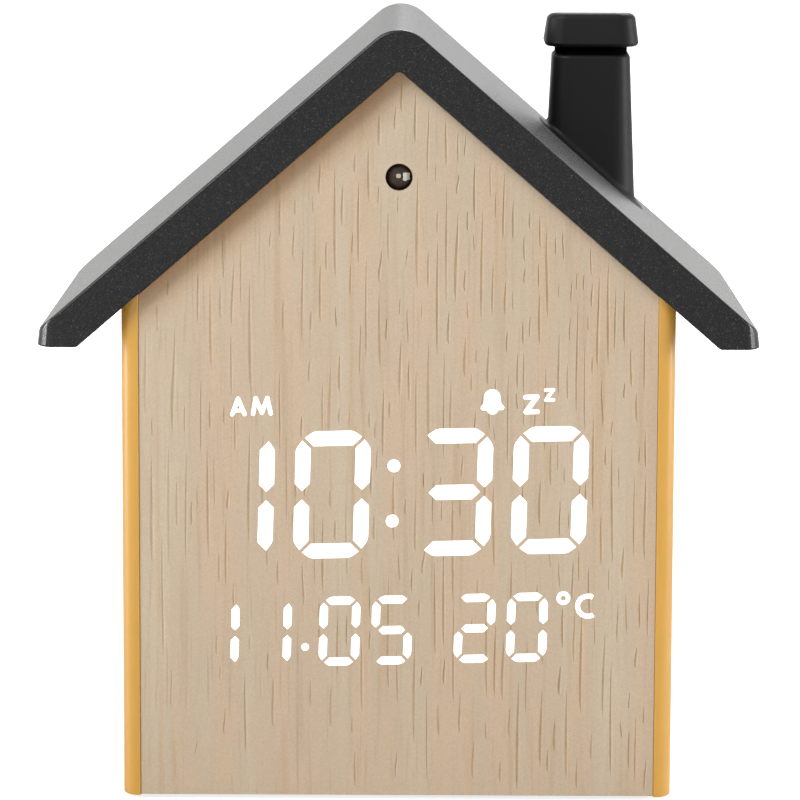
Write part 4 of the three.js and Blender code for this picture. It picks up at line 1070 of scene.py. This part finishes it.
def rear_panel():
    """Cover with the battery opening, the keys' holes, sound slots and screw sinks."""
    shape = Shape()
    back = cover_high.y
    face = back - COVER_WALL
    door_low, door_high = box("battery_door")
    usb_low, usb_high = box("usb_socket")
    bay_low = Vector((door_low.x - DOOR_GAP, door_low.z + TAB_REACH - DOOR_GAP))
    bay_high = Vector((door_high.x + DOOR_GAP, door_high.z + DOOR_GAP))
    grip = SCOOP_WIDTH / 2
    tip = bay_high.y + SCOOP_HEIGHT

    def bay(inset):
        spread = Vector((inset, inset))
        return notched(bay_low - spread, bay_high + spread, tip + inset, grip + inset, 0)

    holes = [bay, wide_hole(usb_low.xz, usb_high.xz, HOLE_GAP, (usb_high.z - usb_low.z) / 2)]
    for name in KEYS:
        low, high = box(name + "_button")
        holes.append(wide_hole(low.xz, high.xz, HOLE_GAP - KEY_LIP, KEY_CORNER))
    half = Vector((SLOT_LENGTH, SLOT_WIDTH)) / 2
    for i in range(SLOT_COUNT):
        middle = middle_xz(*box("buzzer")) + Vector((0, (i - (SLOT_COUNT - 1) / 2) * SLOT_PITCH))
        holes.append(wide_hole(middle - half, middle + half, 0, half.y - TOUCH))
    sinks = []
    for i in range(SCREW_COUNT):
        low, high = box(f"rear_cover_screw_{i + 1}")
        sinks.append((middle_xz(low, high), (high.x - low.x) / 2 + HOLE_GAP))
    holes += [round_hole(*sink) for sink in sinks]

    def rim(inset):
        return house(cover_high.x - inset, cover_low.z + inset, cover_high.z - inset / math.cos(PITCH))

    shape.plate(upright, rim, levels(face, back, 0, HOLE_EDGE), holes)
    ledge = rectangle((-grip - SCOOP_LAP, bay_high.y), (grip + SCOOP_LAP, tip + SCOOP_LAP))
    shape.slab(upright, [ledge], face - OVERLAP, back - SCOOP_DEPTH)
    for middle, radius in sinks:
        shape.slab(upright, [circle(middle, radius + SINK_WALL)], face - SINK_DEPTH, face)
    board_low, board_high = box("main_board")
    for x in (board_low.x + STANDOFF_INSET, board_high.x - STANDOFF_INSET):
        for z in (board_low.z + STANDOFF_INSET, board_high.z - STANDOFF_INSET):
            shape.slab(upright, [circle((x, z), STANDOFF_RADIUS)], board_high.y + TOUCH, face)
    piece("rear_panel", shape, "case", "yellow_plastic", ["rear_cover"])


def rear_screws():
    """Pan heads with a cross recess."""
    for i in range(SCREW_COUNT):
        name = f"rear_cover_screw_{i + 1}"
        low, high = box(name)
        middle = middle_xz(low, high)
        radius = (high.x - low.x) / 2
        top = high.y
        under = top - SCREW_HEAD

        def cross(inset):
            arm = radius * CROSS_SHARE - inset
            quarter = [(CROSS_HALF, CROSS_HALF), (CROSS_HALF, arm), (-CROSS_HALF, arm)]
            turns = [Matrix.Rotation(k * math.pi / 2, 2) for k in range(4)]
            return [middle + turn @ Vector(corner) for turn in turns for corner in quarter]

        shape = Shape()
        steps = levels(under, top, 0, SCREW_ROUND)
        rings = [lifted(upright, circle(middle, radius - inset), height) for height, inset in steps]
        shape.skin(rings)
        shape.add(rings[0], [range(len(rings[0]))])
        points, faces = region([circle(middle, radius - SCREW_ROUND)], [cross(0)])
        shape.add(lifted(upright, points, top), faces)
        bottom = lifted(upright, cross(CROSS_DRAFT), top - CROSS_DEPTH)
        shape.skin([lifted(upright, cross(0), top), bottom])
        shape.add(bottom, [range(len(bottom))])
        shape.slab(upright, [circle(middle, SCREW_SHANK_RADIUS, 20)], low.y, under)
        piece(f"rear_screw.{i + 1}", shape, "case", "steel", [name])


def key_signs():
    """A dial, minus, plus and a bell."""
    minus = [stroke((-KEY_SIGN_REACH, 0), (KEY_SIGN_REACH, 0), KEY_SIGN_STROKE)]
    return {
        "set": ring(*KEY_DIAL_RADII) + strokes(KEY_SIGN_STROKE / 2, *KEY_DIAL_HANDS),
        "down": minus,
        "up": minus + [stroke((0, -KEY_SIGN_REACH), (0, KEY_SIGN_REACH), KEY_SIGN_STROKE)],
        "alarm": [[point * KEY_BELL_SCALE for point in loop] for loop in bell_mark()],
    }


def rear_keys():
    """Soft-edged keys with printed signs and a flange that the cover holds in."""
    signs = key_signs()
    white = FINISHES["white_plastic"]
    flange_back = cover_high.y - COVER_WALL - TOUCH
    flange_front = flange_back - KEY_FLANGE
    for name in KEYS:
        low, high = box(name + "_button")
        middle = middle_xz(low, high)
        width = high.x - low.x
        height = high.z - low.z

        def top(inset):
            trim = 2 * (KEY_LIP + inset)
            return around(middle, width - trim, height - trim, KEY_CORNER - inset / 2)

        shape = Shape()
        shape.plate(upright, top, levels(flange_back, high.y, 0, KEY_ROUND))
        flange = around(middle, width, height, KEY_FLANGE_CORNER)
        shape.slab(upright, [flange], flange_front, flange_back)
        shape.slab(upright, [circle(middle, KEY_STEM_RADIUS, 24)], low.y, flange_front)
        sign = [[point + middle for point in loop] for loop in signs[name]]
        shape.slab(upright, sign, high.y - MARK_SUNK, high.y + MARK_PROUD, 1)
        piece("key." + name, shape, name + "_key", "dark_plastic", [name + "_button"], [white])


def battery_flap():
    """Door with a finger notch in its upper edge and two tabs at its foot."""
    low, high = box("battery_door")
    plate_low = Vector((low.x, low.z + TAB_REACH))
    face = cover_high.y - COVER_WALL + TOUCH
    grip = SCOOP_WIDTH / 2
    notch = high.z - SCOOP_HEIGHT / 2
    shape = Shape()

    def rim(inset):
        trim = Vector((inset, inset))
        return notched(plate_low + trim, high.xz - trim, notch - inset, grip + inset, DOOR_CORNER)

    shape.plate(upright, rim, levels(face, high.y, 0, HOLE_EDGE))
    ledge = rectangle((-grip - SCOOP_LAP, notch - SCOOP_LAP), (grip + SCOOP_LAP, high.z))
    shape.slab(upright, [ledge], face - OVERLAP, high.y - SCOOP_DEPTH)
    tab_back = low.y + TAB_THICKNESS
    for x in (-TAB_PLACE, TAB_PLACE):
        corner = (x + TAB_HALF, plate_low.y + TAB_ROOT)
        tab = rectangle((x - TAB_HALF, low.z), corner, TAB_CORNER)
        shape.slab(upright, [tab], low.y, tab_back)
        root = rectangle((x - TAB_HALF, plate_low.y), corner)
        shape.slab(upright, [root], tab_back, face)
    piece("battery_flap", shape, "battery_flap", "yellow_plastic", ["battery_door"])


def usb_inlet():
    """Steel shell of the power inlet with its tongue."""
    low, high = box("usb_socket")
    middle = middle_xz(low, high)
    width = high.x - low.x
    height = high.z - low.z
    floor_depth = high.y - USB_DEPTH
    shape = Shape()

    def outer(inset):
        return around(middle, width - 2 * inset, height - 2 * inset, height / 2 - TOUCH - inset)

    mouth = [lambda inset: outer(USB_WALL - inset)]
    shape.plate(upright, outer, levels(floor_depth, high.y, 0, USB_EDGE), mouth)
    shape.slab(upright, [outer(0)], low.y, floor_depth)
    across, reach, thickness = USB_TONGUE
    tongue = around(middle, across, thickness, USB_TONGUE_CORNER)
    shape.slab(upright, [tongue], floor_depth - TOUCH, floor_depth + reach, 1)
    piece("usb_inlet", shape, "case", "steel", ["usb_socket"], [FINISHES["black_plastic"]])


def cells():
    """Cells with a sleeve, a dark band at the positive end and bare metal caps."""
    for i in range(CELL_COUNT):
        name = f"battery_cell_{i + 1}"
        low, high = box(name)
        middle = (low + high) / 2
        radius = (high.z - low.z) / 2
        facing = (-1) ** i
        length = high.x - low.x

        def from_base(steps):
            return [(radius - step, along) for step, along in steps]

        def from_tip(steps):
            return [(radius - step, length - along) for step, along in steps]

        band = (radius, length * CELL_BAND)
        bands = [
            (2, from_base(CELL_BASE)),
            (0, [*from_base(CELL_HEEL), band]),
            (1, [band, *from_tip(CELL_SHOULDER)]),
            (2, from_tip(CELL_TIP)),
        ]

        def place(point, along):
            x = middle.x + facing * (along - length / 2)
            return Vector((x, middle.y + point[0], middle.z + point[1]))

        shape = Shape()
        for paint, profile in bands:
            shape.turned(profile, place, paint=paint)
        piece(f"cell.{i + 1}", shape, "case", "cell_case", [name], [SLEEVE_END, FINISHES["steel"]])


def dress_frame():
    """Gives each CAD node that still shows the finish of its slot."""
    for part in frame["record"]["subparts"]:
        node = frame["nodes"][part["node"]]
        for holder in node.material_slots:
            holder.material = FINISHES[part["material_slot"]]


def camera():
    data = bpy.data.cameras.new("camera")
    data.lens = LENS
    data.clip_start = 0.01
    made = new_object("camera", data)
    yaw = Matrix.Rotation(-CAMERA_YAW, 4, "Z")
    pitch = Matrix.Rotation(math.pi / 2 - CAMERA_PITCH, 4, "X")
    roll = Matrix.Rotation(CAMERA_ROLL, 4, "Z")
    made.matrix_world = Matrix.Translation(Vector(CAMERA_PLACE) * MM) @ yaw @ pitch @ roll
    bpy.context.scene.camera = made


def lamp(name, place, target, size, watts, gloss_only):
    data = bpy.data.lights.new(name, "AREA")
    data.shape = "DISK"
    data.size = size
    data.energy = watts
    made = new_object(name, data)
    made.visible_diffuse = not gloss_only
    made.location = place
    made.rotation_euler = (Vector(target) - Vector(place)).to_track_quat("-Z", "Y").to_euler()


def rays(tree, *kinds):
    """1 where a ray is of one of the kinds, else 0."""
    path = tree.nodes.new("ShaderNodeLightPath")
    total = path.outputs[kinds[0]]
    for kind in kinds[1:]:
        total = math_node(tree, "MAXIMUM", total, path.outputs[kind])
    return total


def math_node(tree, operation, first, second):
    node = tree.nodes.new("ShaderNodeMath")
    node.operation = operation
    tree.links.new(first, node.inputs[0])
    tree.links.new(second, node.inputs[1])
    return node.outputs[0]


def world():
    made = bpy.data.worlds.new("studio")
    made.use_nodes = True
    bpy.context.scene.world = made
    tree = made.node_tree
    soft = tree.nodes["Background"]
    soft.inputs["Color"].default_value = WORLD_TINT
    soft.inputs["Strength"].default_value = WORLD_STRENGTH
    white = tree.nodes.new("ShaderNodeBackground")
    white.inputs["Color"].default_value = (1, 1, 1, 1)
    mix = tree.nodes.new("ShaderNodeMixShader")
    shown = rays(tree, "Is Camera Ray", *MIRRORED)
    for socket, source in zip(mix.inputs, (shown, soft.outputs[0], white.outputs[0])):
        tree.links.new(source, socket)
    tree.links.new(mix.outputs[0], tree.nodes["World Output"].inputs["Surface"])


def floor():
    """Pale floor that shows white where it is lit and keeps the clock's shadow."""
    mesh = bpy.data.meshes.new("floor")
    corners = lifted(lying, around((0, 0), FLOOR_SIZE, FLOOR_SIZE), 0)
    mesh.from_pydata(corners, [], [(0, 1, 2, 3)])
    made = new_object("floor", mesh)
    finish = Finish("floor_paper", Roughness=0.9, Specular_IOR_Level=0.0)
    paper = finish.mottle(finish.noise(3.0), (0.84, 0.84, 0.84, 1), (0.86, 0.86, 0.86, 1))
    finish.set("Base Color", paper)
    finish.set("Emission Color", (1, 1, 1, 1))
    direct = finish.between(rays(finish.tree, "Is Camera Ray"), 0.0, FLOOR_GLOW)
    length = finish.add("ShaderNodeVectorMath", Vector=finish.place)
    length.operation = "LENGTH"
    far = finish.between(length.outputs["Value"], *MIRRORED_GLOW, *MIRRORED_REACH)
    mirrored = math_node(finish.tree, "MULTIPLY", rays(finish.tree, *MIRRORED), far)
    finish.set("Emission Strength", math_node(finish.tree, "MAXIMUM", direct, mirrored))
    mesh.materials.append(finish.material)


def studio():
    bpy.context.scene.view_settings.view_transform = "Standard"
    camera()
    world()
    floor()
    for name, settings in LAMPS.items():
        lamp(name, *settings)


studio()
dress_frame()
roof()
stack()
cap()
walls()
wood_front()
lit_marks()
sensor()
feet()
rear_panel()
rear_screws()
rear_keys()
battery_flap()
usb_inlet()
cells()
